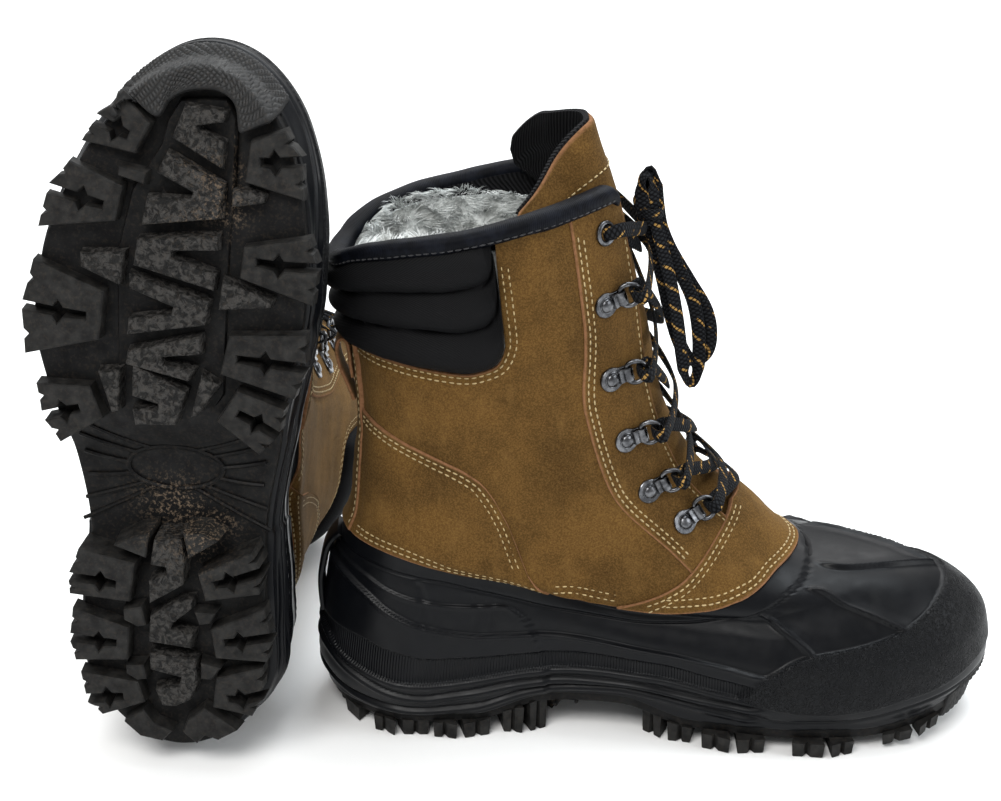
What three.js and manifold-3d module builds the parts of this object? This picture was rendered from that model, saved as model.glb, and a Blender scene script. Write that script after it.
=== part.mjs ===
// A pair of insulated hunting boots: the left boot stands, the right boot lies on its back beside it.
// Millimetres. In a boot's own frame X points to the toe, Y to the left and Z up. The back of the heel is
// at x = 0 and the tread stands on z = 0. The right boot is the left boot mirrored and laid down.
import * as THREE from 'three'
import { mergeVertices } from 'three/addons/utils/BufferGeometryUtils.js'
import Module from 'manifold-3d'

const wasm = await Module()
wasm.setup()

// ---------------------------------------------------------------- driving dimensions
const LENGTH = 318 // heel back to toe tip
const GAP = 0.3 // between touching pieces
const SHELL = 2.7 // wall of the rubber foot
const LEATHER = 2 // one layer of suede
const PAD = 7 // padded collar over the shaft
const LINER = 5 // insulated bootie
const LINER_SET_IN = 3 // room between the shaft and the bootie
const TONGUE = 4.5
const BINDING = { up: 2.8, across: 6 } // half sizes of the tape round the rim
const PLATE = 6 // outsole under the foot shell
const WIRE = 1.1 // half thickness of a D-ring
const RING_TILT = 28 // degrees that a D-ring stands off its bracket
const LACE = { width: 5.6, thick: 2 } // flat braid
const THROAT = 0.42 // front edge of an eyestay, as a turn round the boot from its back
const LINER_THROAT = 0.372 // front edge of the bootie
const LIE = { x: -65, y: -65.4, yaw: 6.9, roll: 1.8, lean: 3.6 } // the right boot's place, mm and degrees

// ---------------------------------------------------------------- curves
// A smooth curve through the points that doesn't overshoot them.
function curve(points) {
  const n = points.length
  const slope = points.slice(1).map((p, i) => (p[1] - points[i][1]) / (p[0] - points[i][0]))
  const tangent = points.map((_, i) => {
    if (i === 0) return slope[0]
    if (i === n - 1) return slope[n - 2]
    return slope[i - 1] * slope[i] <= 0 ? 0 : (2 * slope[i - 1] * slope[i]) / (slope[i - 1] + slope[i])
  })
  return (x) => {
    const inside = THREE.MathUtils.clamp(x, points[0][0], points[n - 1][0])
    let i = 0
    while (i < n - 2 && inside > points[i + 1][0]) i++
    const width = points[i + 1][0] - points[i][0]
    const s = (inside - points[i][0]) / width
    const rise = points[i][1] * (1 + 2 * s) * (1 - s) ** 2 + points[i + 1][1] * s * s * (3 - 2 * s)
    return rise + width * (tangent[i] * s * (1 - s) ** 2 - tangent[i + 1] * s * s * (1 - s))
  }
}

// Girth of the foot along its length: a half width is the girth times the sine of the turn.
const footGirth = curve([
  [0, 72], [0.1, 68], [0.2, 54], [0.35, 43], [0.5, 50], [0.68, 64], [0.85, 69], [1, 72],
])
const foot = (scale, back, front) => (f) => scale * footGirth((back + f * (front - back)) / LENGTH)
// The toe box leans to the inner side of the foot.
const lean = curve([[190, 0], [216, -2.5], [246, -7], [270, -11], [290, -14], [318, -16]])

// Level lines round the boot, from the tread up to the tip of the tongue. Each crosses the centre plane at
// x = back and x = front; its height and girth follow it from the back (0) to the front (1).
const level = (back, front, height) => ({ back, front, height: curve(height) })
const LEVELS = [
  // feather edge
  level(4, 312, [[0, 14], [0.22, 14], [0.33, 23], [0.44, 24], [0.55, 14], [0.8, 13], [1, 25]]),
  // widest midsole band
  level(0, 318, [[0, 29], [0.3, 33], [0.45, 33], [0.7, 26], [0.88, 28], [1, 36]]),
  // raised welt
  level(3, 315, [[0, 54], [0.3, 57], [0.5, 50], [0.7, 43], [0.88, 45], [1, 53]]),
  // side of the toe box
  level(8, 299, [[0, 80], [0.3, 70], [0.5, 59], [0.7, 56], [0.88, 62], [1, 69]]),
  // top of the toe box
  level(13, 272, [[0, 94], [0.3, 79], [0.5, 66], [0.7, 64], [0.88, 72], [1, 78]]),
  // foot of the leather
  level(18, 228, [[0, 106], [0.23, 92], [0.37, 83], [0.58, 71], [0.75, 70], [0.87, 76], [1, 83]]),
  // instep
  level(21, 202, [[0, 128], [0.3, 114], [0.6, 100], [0.8, 98], [1, 104]]),
  // bend
  level(23, 177, [[0, 150], [0.4, 136], [0.8, 124], [1, 128]]),
  // ankle
  level(22, 161, [[0, 175], [0.5, 167], [1, 159]]),
  // shaft
  level(18, 151, [[0, 205], [1, 202]]),
  // rim
  level(14, 137, [[0, 226], [0.1, 235], [0.25, 241], [0.45, 246], [0.7, 253], [0.95, 258], [1, 258]]),
  // tip of the tongue
  level(13, 125, [[0, 255], [0.5, 262], [0.8, 276], [1, 288]]),
]
const FOOT_SCALES = [0.95, 1, 0.96, 0.88, 0.83]
const SHAFT_GIRTHS = [
  [[0, 60], [0.2, 48], [0.37, 41], [0.54, 43], [0.73, 53], [0.87, 61], [1, 63]],
  [[0, 53], [0.22, 44], [0.42, 39], [0.61, 42], [0.77, 48], [0.91, 47], [1, 46]],
  [[0, 48], [0.2, 45], [0.45, 39], [0.7, 42], [0.9, 44], [1, 43]],
  [[0, 46], [0.2, 45], [0.5, 41], [0.8, 44], [1, 44]],
  [[0, 45], [1, 45]],
  [[0, 47], [1, 47]],
  [[0, 46], [1, 44]],
]
const RIM = 10 // the rim's place in LEVELS
const LEATHER_FOOT = 5
LEVELS.forEach((line, i) => {
  const onShaft = i >= LEATHER_FOOT
  line.girth = onShaft ? curve(SHAFT_GIRTHS[i - LEATHER_FOOT]) : foot(FOOT_SCALES[i], line.back, line.front)
})

// ---------------------------------------------------------------- the boot's skin
// turn is 0 at the back, 0.25 on the inner side, 0.5 at the front and 0.75 on the outer side.
function onLevel(line, turn) {
  const f = (1 - Math.cos(2 * Math.PI * turn)) / 2
  const x = line.back + f * (line.front - line.back)
  return [x, lean(x) - Math.sin(2 * Math.PI * turn) * line.girth(f), line.height(f)]
}

const columns = new Map()
function skinPoint(turn, height) {
  if (!columns.has(turn)) {
    const points = LEVELS.map((line) => onLevel(line, turn))
    columns.set(turn, [0, 1, 2].map((axis) => curve(points.map((p, i) => [i, p[axis]]))))
  }
  return new THREE.Vector3(...columns.get(turn).map((along) => along(height)))
}

// A frame on the skin: along runs round the boot towards the front of the inner side, up runs up it.
function skinFrame(turn, height) {
  const step = 1e-3
  const at = skinPoint(turn, height)
  const along = skinPoint(turn + step, height).sub(skinPoint(turn - step, height)).normalize()
  const low = Math.max(height - step, 0)
  const high = Math.min(height + step, LEVELS.length - 1)
  const up = skinPoint(turn, high).sub(skinPoint(turn, low)).normalize()
  const out = along.clone().cross(up).normalize()
  return { at, along, up, out }
}

const skinOffset = (turn, height, out) => {
  const frame = skinFrame(turn, height)
  return frame.at.addScaledVector(frame.out, out)
}

// The foot closes below its feather edge: height 0 is that edge and height -1 the middle line of the sole.
function soleOffset(turn, height, out) {
  const edge = onLevel(LEVELS[0], turn)
  const f = (1 - Math.cos(2 * Math.PI * turn)) / 2
  const middle = THREE.MathUtils.lerp(LEVELS[0].back + 22, LEVELS[0].front - 30, f)
  const flat = new THREE.Vector3(middle, lean(middle), edge[2])
  return new THREE.Vector3(...edge).lerp(flat, -height).add(new THREE.Vector3(0, 0, -out))
}

const bootOffset = (turn, height, out) => {
  if (height < 0) return soleOffset(turn, height, out)
  if (height > 0) return skinOffset(turn, height, out)
  return skinOffset(turn, height, out).lerp(soleOffset(turn, 0, out), 0.5)
}

// ---------------------------------------------------------------- solids
const range = (count, from = 0, to = 1) =>
  Array.from({ length: count + 1 }, (_, i) => from + (i / count) * (to - from))

function closed(positions, triangles) {
  const geometry = new THREE.BufferGeometry()
  const numbers = positions.flatMap((p) => p.toArray())
  geometry.setAttribute('position', new THREE.Float32BufferAttribute(numbers, 3))
  geometry.setIndex(triangles.flat())
  const merged = mergeVertices(geometry, 1e-3)
  const kept = []
  const index = merged.index.array
  for (let i = 0; i < index.length; i += 3) {
    const [a, b, c] = index.slice(i, i + 3)
    if (a !== b && b !== c && c !== a) kept.push(a, b, c)
  }
  merged.setIndex(kept)
  return merged
}

// A thick sheet over a grid of rows and columns. place(row, column, side) gives a point, with side 0 inside
// and side 1 outside. wrap joins the last column to the first; zip leaves the first row to close on itself.
function sheet({ rows, across, place, wrap = false, zip = false, has = () => true }) {
  const points = []
  for (const side of [0, 1])
    for (const row of rows) for (const column of across) points.push(place(row, column, side))
  const width = across.length
  const id = (side, i, j) => side * rows.length * width + i * width + (wrap ? j % width : j)
  const cells = wrap ? width : width - 1
  const step = (j) => (wrap ? (j + cells) % cells : j)
  const mid = (j) => {
    const closing = wrap && j === cells - 1
    return closing ? across[j] + (across[1] - across[0]) / 2 : (across[j] + across[j + 1]) / 2
  }
  const filled = (i, j) => {
    const inside = i >= 0 && i < rows.length - 1 && step(j) >= 0 && step(j) < cells
    return inside && has((rows[i] + rows[i + 1]) / 2, mid(step(j)))
  }
  const triangles = []
  const quad = (a, b, c, d) => triangles.push([a, b, c], [a, c, d])
  const wall = (a, b) => quad(id(0, ...a), id(0, ...b), id(1, ...b), id(1, ...a))
  for (let i = 0; i < rows.length - 1; i++)
    for (let j = 0; j < cells; j++) {
      if (!filled(i, j)) continue
      quad(id(1, i, j), id(1, i, j + 1), id(1, i + 1, j + 1), id(1, i + 1, j))
      quad(id(0, i, j), id(0, i + 1, j), id(0, i + 1, j + 1), id(0, i, j + 1))
      if (!filled(i - 1, j) && !(zip && i === 0)) wall([i, j], [i, j + 1])
      if (!filled(i + 1, j)) wall([i + 1, j + 1], [i + 1, j])
      if (!filled(i, j - 1)) wall([i + 1, j], [i, j])
      if (!filled(i, j + 1)) wall([i, j + 1], [i + 1, j + 1])
    }
  return closed(points, triangles)
}

// A panel of the upper over the given turns, from low(turn) to high(turn). at may bend a turn with height.
function panel({ turns, rows, low, high, at = (turn) => turn, inner = GAP, outer = GAP + LEATHER }) {
  const place = (row, turn, side) => {
    const height = THREE.MathUtils.lerp(low(turn), high(turn), row)
    return skinOffset(at(turn, height), height, side ? outer : inner)
  }
  return sheet({ rows: range(rows), across: turns, place })
}

// The same panel on the inner side of the foot, or mirrored to the outer side.
function sidePanel(side, { turns, low, high, at = (turn) => turn, ...rest }) {
  if (side === 'medial') return panel({ turns, low, high, at, ...rest })
  const mirrored = [...turns].reverse().map((turn) => 1 - turn)
  return panel({
    turns: mirrored,
    low: (turn) => low(1 - turn),
    high: (turn) => high(1 - turn),
    at: (turn, height) => 1 - at(1 - turn, height),
    ...rest,
  })
}

// A strip of elliptical section swept along points, as wide as across in the directions given by sides.
function strip(points, sides, across, thick, facets = 8, loop = false) {
  const n = points.length
  const positions = []
  for (let i = 0; i < n; i++) {
    const next = points[loop ? (i + 1) % n : Math.min(i + 1, n - 1)]
    const last = points[loop ? (i + n - 1) % n : Math.max(i - 1, 0)]
    const ahead = next.clone().sub(last).normalize()
    const side = sides[i].clone().addScaledVector(ahead, -ahead.dot(sides[i])).normalize()
    const out = ahead.clone().cross(side)
    for (let k = 0; k < facets; k++) {
      const angle = (2 * Math.PI * (k + 0.5)) / facets
      positions.push(points[i].clone()
        .addScaledVector(side, (Math.cos(angle) * across) / 2)
        .addScaledVector(out, (Math.sin(angle) * thick) / 2))
    }
  }
  const triangles = []
  const id = (i, k) => (i % n) * facets + (k % facets)
  for (let i = 0; i < (loop ? n : n - 1); i++)
    for (let k = 0; k < facets; k++)
      triangles.push([id(i, k), id(i, k + 1), id(i + 1, k + 1)], [id(i, k), id(i + 1, k + 1), id(i + 1, k)])
  if (!loop)
    for (let k = 1; k < facets - 1; k++)
      triangles.push([id(0, 0), id(0, k + 1), id(0, k)], [id(n - 1, 0), id(n - 1, k), id(n - 1, k + 1)])
  return closed(positions, triangles)
}

function toManifold(geometry) {
  const plain = geometry.clone()
  for (const name of Object.keys(plain.attributes)) if (name !== 'position') plain.deleteAttribute(name)
  const merged = mergeVertices(plain, 1e-3)
  return new wasm.Manifold(new wasm.Mesh({
    numProp: 3,
    vertProperties: new Float32Array(merged.attributes.position.array),
    triVerts: new Uint32Array(merged.index.array),
  }))
}

function fromManifold(solid) {
  const mesh = solid.getMesh()
  const geometry = new THREE.BufferGeometry()
  geometry.setAttribute('position', new THREE.Float32BufferAttribute(mesh.vertProperties, 3))
  geometry.setIndex(Array.from(mesh.triVerts))
  return geometry
}

function joined(geometries) {
  const [first, ...rest] = geometries.map(toManifold)
  return fromManifold(rest.reduce((sum, solid) => sum.add(solid), first))
}

function prism(outline, low, high) {
  const shape = new THREE.Shape(outline.map(([x, y]) => new THREE.Vector2(x, y)))
  return new THREE.ExtrudeGeometry(shape, { depth: high - low, bevelEnabled: false }).translate(0, 0, low)
}

// ---------------------------------------------------------------- materials
const surface = (color, roughness, metalness = 0) => ({ color, roughness, metalness })
const LOOKS = {
  suede: surface(0x7d5a30, 0.9),
  shell: surface(0x1b1d20, 0.45),
  tread: surface(0x232324, 0.75),
  pad: surface(0x101114, 0.8),
  fleece: surface(0xb9bab6, 1),
  knit: surface(0x17181a, 0.9),
  tape: surface(0x1a1e26, 0.6),
  lace: surface(0x1c1a15, 0.85),
  metal: surface(0x4a4a4c, 0.35, 1),
  felt: surface(0x8f8d86, 1),
}

// ---------------------------------------------------------------- edges of the upper's panels
// Heights at a turn: the top of the heel panel and the bottom of the collar pad.
const heelTop = curve([[0.037, 7.3], [0.127, 7.12], [0.169, 7], [0.195, 6.8], [0.205, 6.4], [0.214, 5]])
const padFoot = curve([[0, 8.5], [0.2, 8.5], [0.235, 8.62], [0.252, 8.9], [0.259, 9.7]])
// Turns at a height: the seam of the vamp and the back of the eyestay.
const vampEdge = curve([[5, 0.274], [5.5, 0.332], [6, 0.4], [6.25, 0.45]])
const eyestayBack = curve([[5.6, 0.348], [6, 0.338], [7, 0.322], [8, 0.32], [9, 0.338], [10, 0.35]])
const SEAM = 0.0035 // half the room between two panels, as a turn
const BACKSTAY = 0.037 // its edge, as a turn
const LEATHER_EDGE = 5.06
const LEATHER_TOP = 9.88
const VAMP_TOP = 6.25
const RING_PLACES = [[0.372, 9.2], [0.36, 8.45], [0.36, 7.7], [0.364, 7], [0.374, 6.35]]
const EYELET_PLACE = [0.392, 9.7]
const Y = new THREE.Vector3(0, 1, 0)
const Z = new THREE.Vector3(0, 0, 1)

// ---------------------------------------------------------------- rubber foot
// The shell, the sole and the bootie share these lines, so that they lie evenly over each other.
const FOOT_ROWS = [-1, 0, 1, 2, 3, 4, 4.95]
const FOOT_TURNS = [...range(24, -LINER_THROAT, LINER_THROAT), 0.41, 0.455, 0.5, 0.545, 0.59]

function footShell() {
  const place = (row, turn, side) => bootOffset(turn, row, side ? 0 : -SHELL)
  return sheet({ rows: FOOT_ROWS, across: FOOT_TURNS, place, wrap: true, zip: true })
}

const treadHeight = curve([[0, 3], [14, 0], [244, 0], [270, 4], [300, 10], [318, 17]])

// A block runs up from the tread past the plate, which it is cut to afterwards.
function lugBlock(outline) {
  const middle = outline.reduce((sum, [x]) => sum + x, 0) / outline.length
  return prism(outline.map(([x, y]) => [x, -y]), treadHeight(middle), 40)
}

// Blocks of the tread, as outlines with y to the inner side of the foot.
const LUGS = [
  [[298, 9], [296, 30], [284, 28], [275, 27], [283, 6]],
  [[278, 3], [267, 27], [254, 25], [249, -5], [261, -3], [270, 0]],
  [[244, -8], [248, 25], [231, 23], [223, 22], [232, -9]],
  [[227, -11], [217, 21], [208, 20], [202, -13], [211, -12]],
  [[197, -13], [203, 18], [188, 15], [182, 12], [188, -14]],
  [[178, -11], [178, 9], [164, 5], [162, -12]],
  [[301, -12], [289, -3], [277, -8], [281, -29]],
  [[272, -35], [264, -14], [251, -17], [247, -47], [264, -41]],
  [[232, -51], [221, -23], [200, -26], [192, -57]],
  [[178, -53], [179, -31], [165, -26], [153, -44]],
  [[284, 38], [289, 51], [277, 57], [262, 59], [268, 36]],
  [[243, 36], [247, 62], [220, 62], [229, 34]],
  [[205, 29], [206, 59], [179, 54], [187, 25]],
  [[179, 32], [173, 50], [154, 40], [166, 23]],
  [[305, 0], [299, 30], [294, 48], [306, 42], [311, 26], [311, 8]],
  [[102, -39], [97, -15], [79, -18], [81, -43]],
  [[72, -43], [65, -19], [50, -20], [48, -43]],
  [[40, -41], [38, -16], [28, -13], [21, -33]],
  [[94, 13], [105, 36], [86, 39], [81, 16]],
  [[67, 18], [79, 41], [54, 42], [53, 20]],
  [[43, 20], [49, 40], [26, 35], [29, 18]],
  [[17, -23], [24, -14], [14, -1], [8, -9]],
  [[14, 4], [27, 14], [17, 29], [9, 16]],
  [[109, -7], [111, 6], [88, 6], [79, -10]],
  [[72, -9], [81, 9], [58, 9], [58, -11]],
  [[52, -10], [52, 11], [38, 11], [27, 1], [35, -8]],
]

// A level slab that follows the sole, between two depths under the foot shell.
function soleSlab(reach, top, bottom) {
  const place = (row, turn, side) => soleOffset(turn, row, side ? bottom : top)
  return sheet({ rows: [-1, reach], across: FOOT_TURNS, place, wrap: true, zip: true })
}

function outsole() {
  const above = toManifold(soleSlab(0.4, -60, GAP + PLATE / 2))
  const blocks = joined(LUGS.map(lugBlock))
  const lugs = toManifold(blocks).subtract(above)
  return fromManifold(toManifold(soleSlab(0, 4 * GAP, GAP + PLATE)).add(lugs))
}

// A strap moulded on the back of the foot, to hold while the boot is pulled off.
function heelLoop() {
  const heights = [3.75, 3.4, 2.9, 2.4, 2.05, 1.8]
  const stand = [1.9, 3.2, 4.4, 4.4, 3.2, 1.9]
  const points = heights.map((height, i) => skinOffset(0, height, stand[i]))
  return strip(points, points.map(() => Y), 16, 3, 6)
}

function insole() {
  const inset = SHELL + LINER + 5
  const place = (row, turn, side) => {
    const up = new THREE.Vector3(0, 0, SHELL + LINER + 9 * GAP + (side ? 0 : 4))
    const edge = skinOffset(turn, 0, -inset)
    edge.z = soleOffset(turn, 0, 0).z
    return soleOffset(turn, -1, 0).lerp(edge, row).add(up)
  }
  return sheet({ rows: [0, 1], across: FOOT_TURNS, place, wrap: true, zip: true })
}

// The insulated bootie: a sock inside the foot and the shaft, open at the throat.
function liner() {
  const inShell = [[0, SHELL + 5 * GAP], [2, SHELL + 3], [4.9, SHELL + 1.5]]
  const setIn = curve([...inShell, [5.5, LINER_SET_IN], [10, LINER_SET_IN]])
  const place = (row, turn, side) => bootOffset(turn, row, -setIn(row) - (side ? 0 : LINER))
  const has = (row, turn) => row < 6.3 || Math.abs(turn) < LINER_THROAT
  const rows = [-1, 0, 2, 3, 4, 4.95, 5.6, 6.3, 7, 8, 9, 9.9]
  return sheet({ rows, across: FOOT_TURNS, place, wrap: true, zip: true, has })
}

// ---------------------------------------------------------------- leather upper
function quarter(side) {
  const front = (height) => Math.min(eyestayBack(height), vampEdge(height)) - SEAM
  return sidePanel(side, {
    turns: [BACKSTAY + SEAM, 0.085, 0.127, 0.169, 0.195, 0.207, 0.2175, 0.245, 0.2515, 0.259, 0.34],
    rows: 7,
    low: (turn) => (turn < 0.215 ? heelTop(turn) + 0.04 : LEATHER_EDGE),
    high: (turn) => (turn < 0.255 ? padFoot(turn) - 0.04 : LEATHER_TOP),
    at: (turn, height) => (turn > 0.3 ? front(height) : turn),
  })
}

function heelPanel(side) {
  const turns = [BACKSTAY + SEAM, 0.085, 0.127, 0.169, 0.195, 0.2085]
  return sidePanel(side, { turns, rows: 4, low: () => LEATHER_EDGE, high: (turn) => heelTop(turn) - 0.05 })
}

// A strip up the back seam, with a folded loop standing out at its top.
function backstay() {
  const turns = range(2, -BACKSTAY + SEAM, BACKSTAY - SEAM)
  const band = panel({ turns, rows: 5, low: () => LEATHER_EDGE, high: () => 8.4 })
  const root = skinPoint(0, 8)
  const outline = [[1, -12], [5, -7], [8.5, 1], [9.5, 8], [7.5, 12], [4.8, 8], [3, 2], [1, -4]]
  const points = outline.map(([back, up]) => new THREE.Vector3(root.x - back, 0, root.z + up))
  return joined([band, strip(points, points.map(() => Y), 15, 2.2, 6)])
}

function vamp() {
  const at = (s, height) => 0.5 + s * (0.5 - vampEdge(height) - SEAM)
  return panel({ turns: range(10, -1, 1), rows: 4, low: () => LEATHER_EDGE, high: () => VAMP_TOP, at })
}

// ---------------------------------------------------------------- hardware
function ringFrame([turn, height], side) {
  const { at, along, up, out } = skinFrame(side === 'medial' ? turn : 1 - turn, height)
  const towards = along.multiplyScalar(side === 'medial' ? 1 : -1)
  towards.addScaledVector(up, 0.3).normalize()
  const cross = out.clone().cross(towards).normalize()
  at.addScaledVector(out, GAP + LEATHER)
  return new THREE.Matrix4().makeBasis(towards, cross, out).setPosition(at)
}

const BAR = { x: 7.5, z: 2.1 } // a D-ring's hinge line over its bracket
const BOW = 8.6 // how far a D-ring reaches from its bar

// A plate with a domed rivet, rolled over at its front into an eye for the ring.
function bracket() {
  const front = BAR.x + 0.8
  const plate = prism([[-4.6, 0], [-2.4, -4.4], [front, -2.7], [front, 2.7], [-2.4, 4.4]], -1.6, 0.8)
  const rivet = new THREE.CylinderGeometry(2, 2.9, 1.6, 6).rotateX(Math.PI / 2).translate(-0.3, 0, 1.4)
  const angles = range(4, -0.5 * Math.PI, 0.85 * Math.PI)
  const arc = (radius, reverse) => {
    const points = angles.map((a) => [BAR.x + radius * Math.cos(a), BAR.z + radius * Math.sin(a)])
    return reverse ? points.reverse() : points
  }
  const eye = prism([...arc(WIRE + GAP + 0.9), ...arc(WIRE + GAP, true)], -2.4, 2.4)
  eye.rotateX(Math.PI / 2)
  return [plate, rivet, eye]
}

function eyestay(side) {
  const back = (height) => eyestayBack(height) + SEAM
  const front = (height) => Math.min(THROAT, vampEdge(height) - SEAM)
  const at = (s, height) => THREE.MathUtils.lerp(back(height), front(height), s)
  const low = 5.75
  const medial = { turns: range(2), rows: 9, low: () => low, high: () => LEATHER_TOP, at }
  const lateral = { ...medial, at: (s, height) => 1 - at(1 - s, height) }
  const band = panel(side === 'medial' ? medial : lateral)
  const hardware = RING_PLACES.map((place) => ringFrame(place, side))
    .flatMap((frame) => bracket().map((piece) => piece.applyMatrix4(frame)))
  const eyelet = new THREE.CylinderGeometry(5, 5.8, 1.6, 12).rotateX(Math.PI / 2).translate(0, 0, 0.6)
  const hole = new THREE.CylinderGeometry(3.3, 3.3, 14, 12).rotateX(Math.PI / 2)
  const frame = ringFrame(EYELET_PLACE, side)
  const whole = toManifold(joined([band, ...hardware, eyelet.applyMatrix4(frame)]))
  return fromManifold(whole.subtract(toManifold(hole.applyMatrix4(frame))))
}

// A D-ring about its own bar: Y along the bar, X towards the bow.
function dRing() {
  const angles = range(5, -0.5 * Math.PI, 0.5 * Math.PI)
  const bow = angles.map((a) => [2.6 + (BOW - 2.6) * Math.cos(a), 5 * Math.sin(a)])
  const outline = [[0, -3.2], ...bow, [0, 3.2]]
  const points = outline.map(([x, y]) => new THREE.Vector3(x, y, 0))
  return strip(points, points.map(() => Z), 2 * WIRE, 2 * WIRE, 5, true)
}

// ---------------------------------------------------------------- tongue, collar and laces
// The tongue lies under the eyestays. Towards its top its edges move in behind the collar.
const tongueSetIn = curve([[6.3, 1], [8, 1.2], [10, 1.5], [11, 0]])
const tongueEdgeIn = curve([[6.3, 1], [8, 1.2], [9, 3.5], [9.6, 10.2], [11, 10.5]])
const tongueHalf = curve([[6.3, 0.09], [9, 0.094], [9.5, 0.094], [9.75, 0.12], [10.4, 0.145], [11, 0.12]])
const TONGUE_SPLIT = 9.5

function tonguePart(rows, count) {
  const place = (row, s, side) => {
    const edge = THREE.MathUtils.smoothstep(Math.abs(s), 0.1, 0.62)
    const setIn = THREE.MathUtils.lerp(tongueSetIn(row), tongueEdgeIn(row), edge)
    return skinOffset(0.5 + s * tongueHalf(row), row, -setIn - (side ? 0 : TONGUE))
  }
  return sheet({ rows, across: range(count, -1, 1), place })
}

const tongue = () => tonguePart([6.38, 6.7, 7, 7.5, 8, 8.5, 9, TONGUE_SPLIT - 0.04], 6)

// The free end of the tongue swings about the line where the top eyelets hold it.
function tongueTop() {
  const pivot = skinPoint(0.5, TONGUE_SPLIT).sub(new THREE.Vector3(16, 0, 0))
  const geometry = tonguePart([TONGUE_SPLIT + 0.05, 9.75, 10.1, 10.5, 10.95], 8)
  return { geometry: geometry.translate(-pivot.x, 0, -pivot.z), pivot }
}

function collarPad() {
  const sideTurns = [0.05, 0.1, 0.15, 0.2, 0.235, 0.245, 0.2515]
  const turns = [...sideTurns.map((turn) => -turn).reverse(), 0, ...sideTurns]
  const low = (turn) => padFoot(Math.abs(turn)) + 0.03
  return panel({ turns, rows: 4, low, high: () => LEATHER_TOP, outer: GAP + PAD })
}

function collarBinding() {
  const turns = range(24, -THROAT + 0.004, THROAT - 0.004)
  const lift = BINDING.up + 0.8
  const points = turns.map((turn) => skinOffset(turn, RIM, -2.2).addScaledVector(Z, lift))
  const sides = turns.map((turn) => skinFrame(turn, RIM).out.setZ(0))
  return strip(points, sides, 2 * BINDING.across, 2 * BINDING.up, 6)
}

// The lace is one line: up one side through the rings to the eyelet, and down the other. A side's strand
// crosses over the tongue at each step, first under and then over the strand from the other side.
const LACE_PLAY = 5 // between a ring's plane and the strands beside its bow
const UNDER = 3.6 // how far a strand lies over the tongue, and the one over it
const OVER = 7

// A point beside a D-ring: reach is measured from its bar towards its bow, lift off its plane.
function byRing(place, side, reach, lift) {
  const tilt = THREE.MathUtils.degToRad(RING_TILT)
  const x = BAR.x + reach * Math.cos(tilt) - lift * Math.sin(tilt)
  const z = BAR.z + reach * Math.sin(tilt) + lift * Math.cos(tilt)
  const frame = ringFrame(place, side)
  const across = new THREE.Vector3().setFromMatrixColumn(frame, 1)
  if (side === 'lateral') across.negate()
  return { at: new THREE.Vector3(x, 0, z).applyMatrix4(frame), side: across }
}

function overTongue(height, out) {
  return { at: skinOffset(0.5, height, out - 1.2), side: skinFrame(0.5, height).up }
}

// Through the eyelet from behind and on to the knot.
function throughEyelet(side) {
  const turn = side === 'medial' ? 1 : -1
  const [from, height] = EYELET_PLACE
  const by = (ahead, out) => {
    const frame = skinFrame(0.5 + turn * (from + ahead - 0.5), height)
    return { at: frame.at.addScaledVector(frame.out, out), side: frame.up }
  }
  const end = { at: new THREE.Vector3(149, 5 * -turn, 238), side: Z }
  return [by(0.028, -3), by(0.001, -1.4), by(0.001, 4.2), by(0.02, 7), end]
}

function laceHalf(start, out) {
  const places = [...RING_PLACES].reverse()
  const other = start === 'medial' ? 'lateral' : 'medial'
  const route = places.flatMap((place, i) => {
    const side = i % 2 ? other : start
    const next = places[i + 1] ?? EYELET_PLACE
    const bend = [[10, -LACE_PLAY], [4.5, 0], [10, LACE_PLAY]]
    return [
      ...bend.map(([reach, lift]) => byRing(place, side, reach, lift)),
      overTongue((place[1] + next[1]) / 2, out),
    ]
  })
  return [...route, ...throughEyelet(other)]
}

function lace() {
  const low = skinOffset(0.5, RING_PLACES.at(-1)[1], GAP + LEATHER + 2.6)
  const bottom = { at: low, side: skinFrame(0.5, 6.3).up }
  const route = [...laceHalf('lateral', UNDER).reverse(), bottom, ...laceHalf('medial', OVER)]
  return strip(route.map((stop) => stop.at), route.map((stop) => stop.side), LACE.width, LACE.thick, 8)
}

// The rest of the lace, gathered in front of the tongue, wound round once and hanging in long loops.
function laceHank() {
  const outline = [
    [146, 264], [145, 254], [150, 246], [152, 238], [158, 220], [162, 202], [167, 180], [174, 160],
    [179, 162], [184, 182], [182, 197], [171, 214], [160, 233], [157, 245], [159, 255], [155, 264],
  ]
  return prism(outline, -4, 4).rotateX(Math.PI / 2)
}

// ---------------------------------------------------------------- one boot
const part = (name, geometry, look) => {
  const mesh = new THREE.Mesh(geometry, new THREE.MeshStandardMaterial(LOOKS[look]))
  mesh.name = name
  return mesh
}

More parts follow.
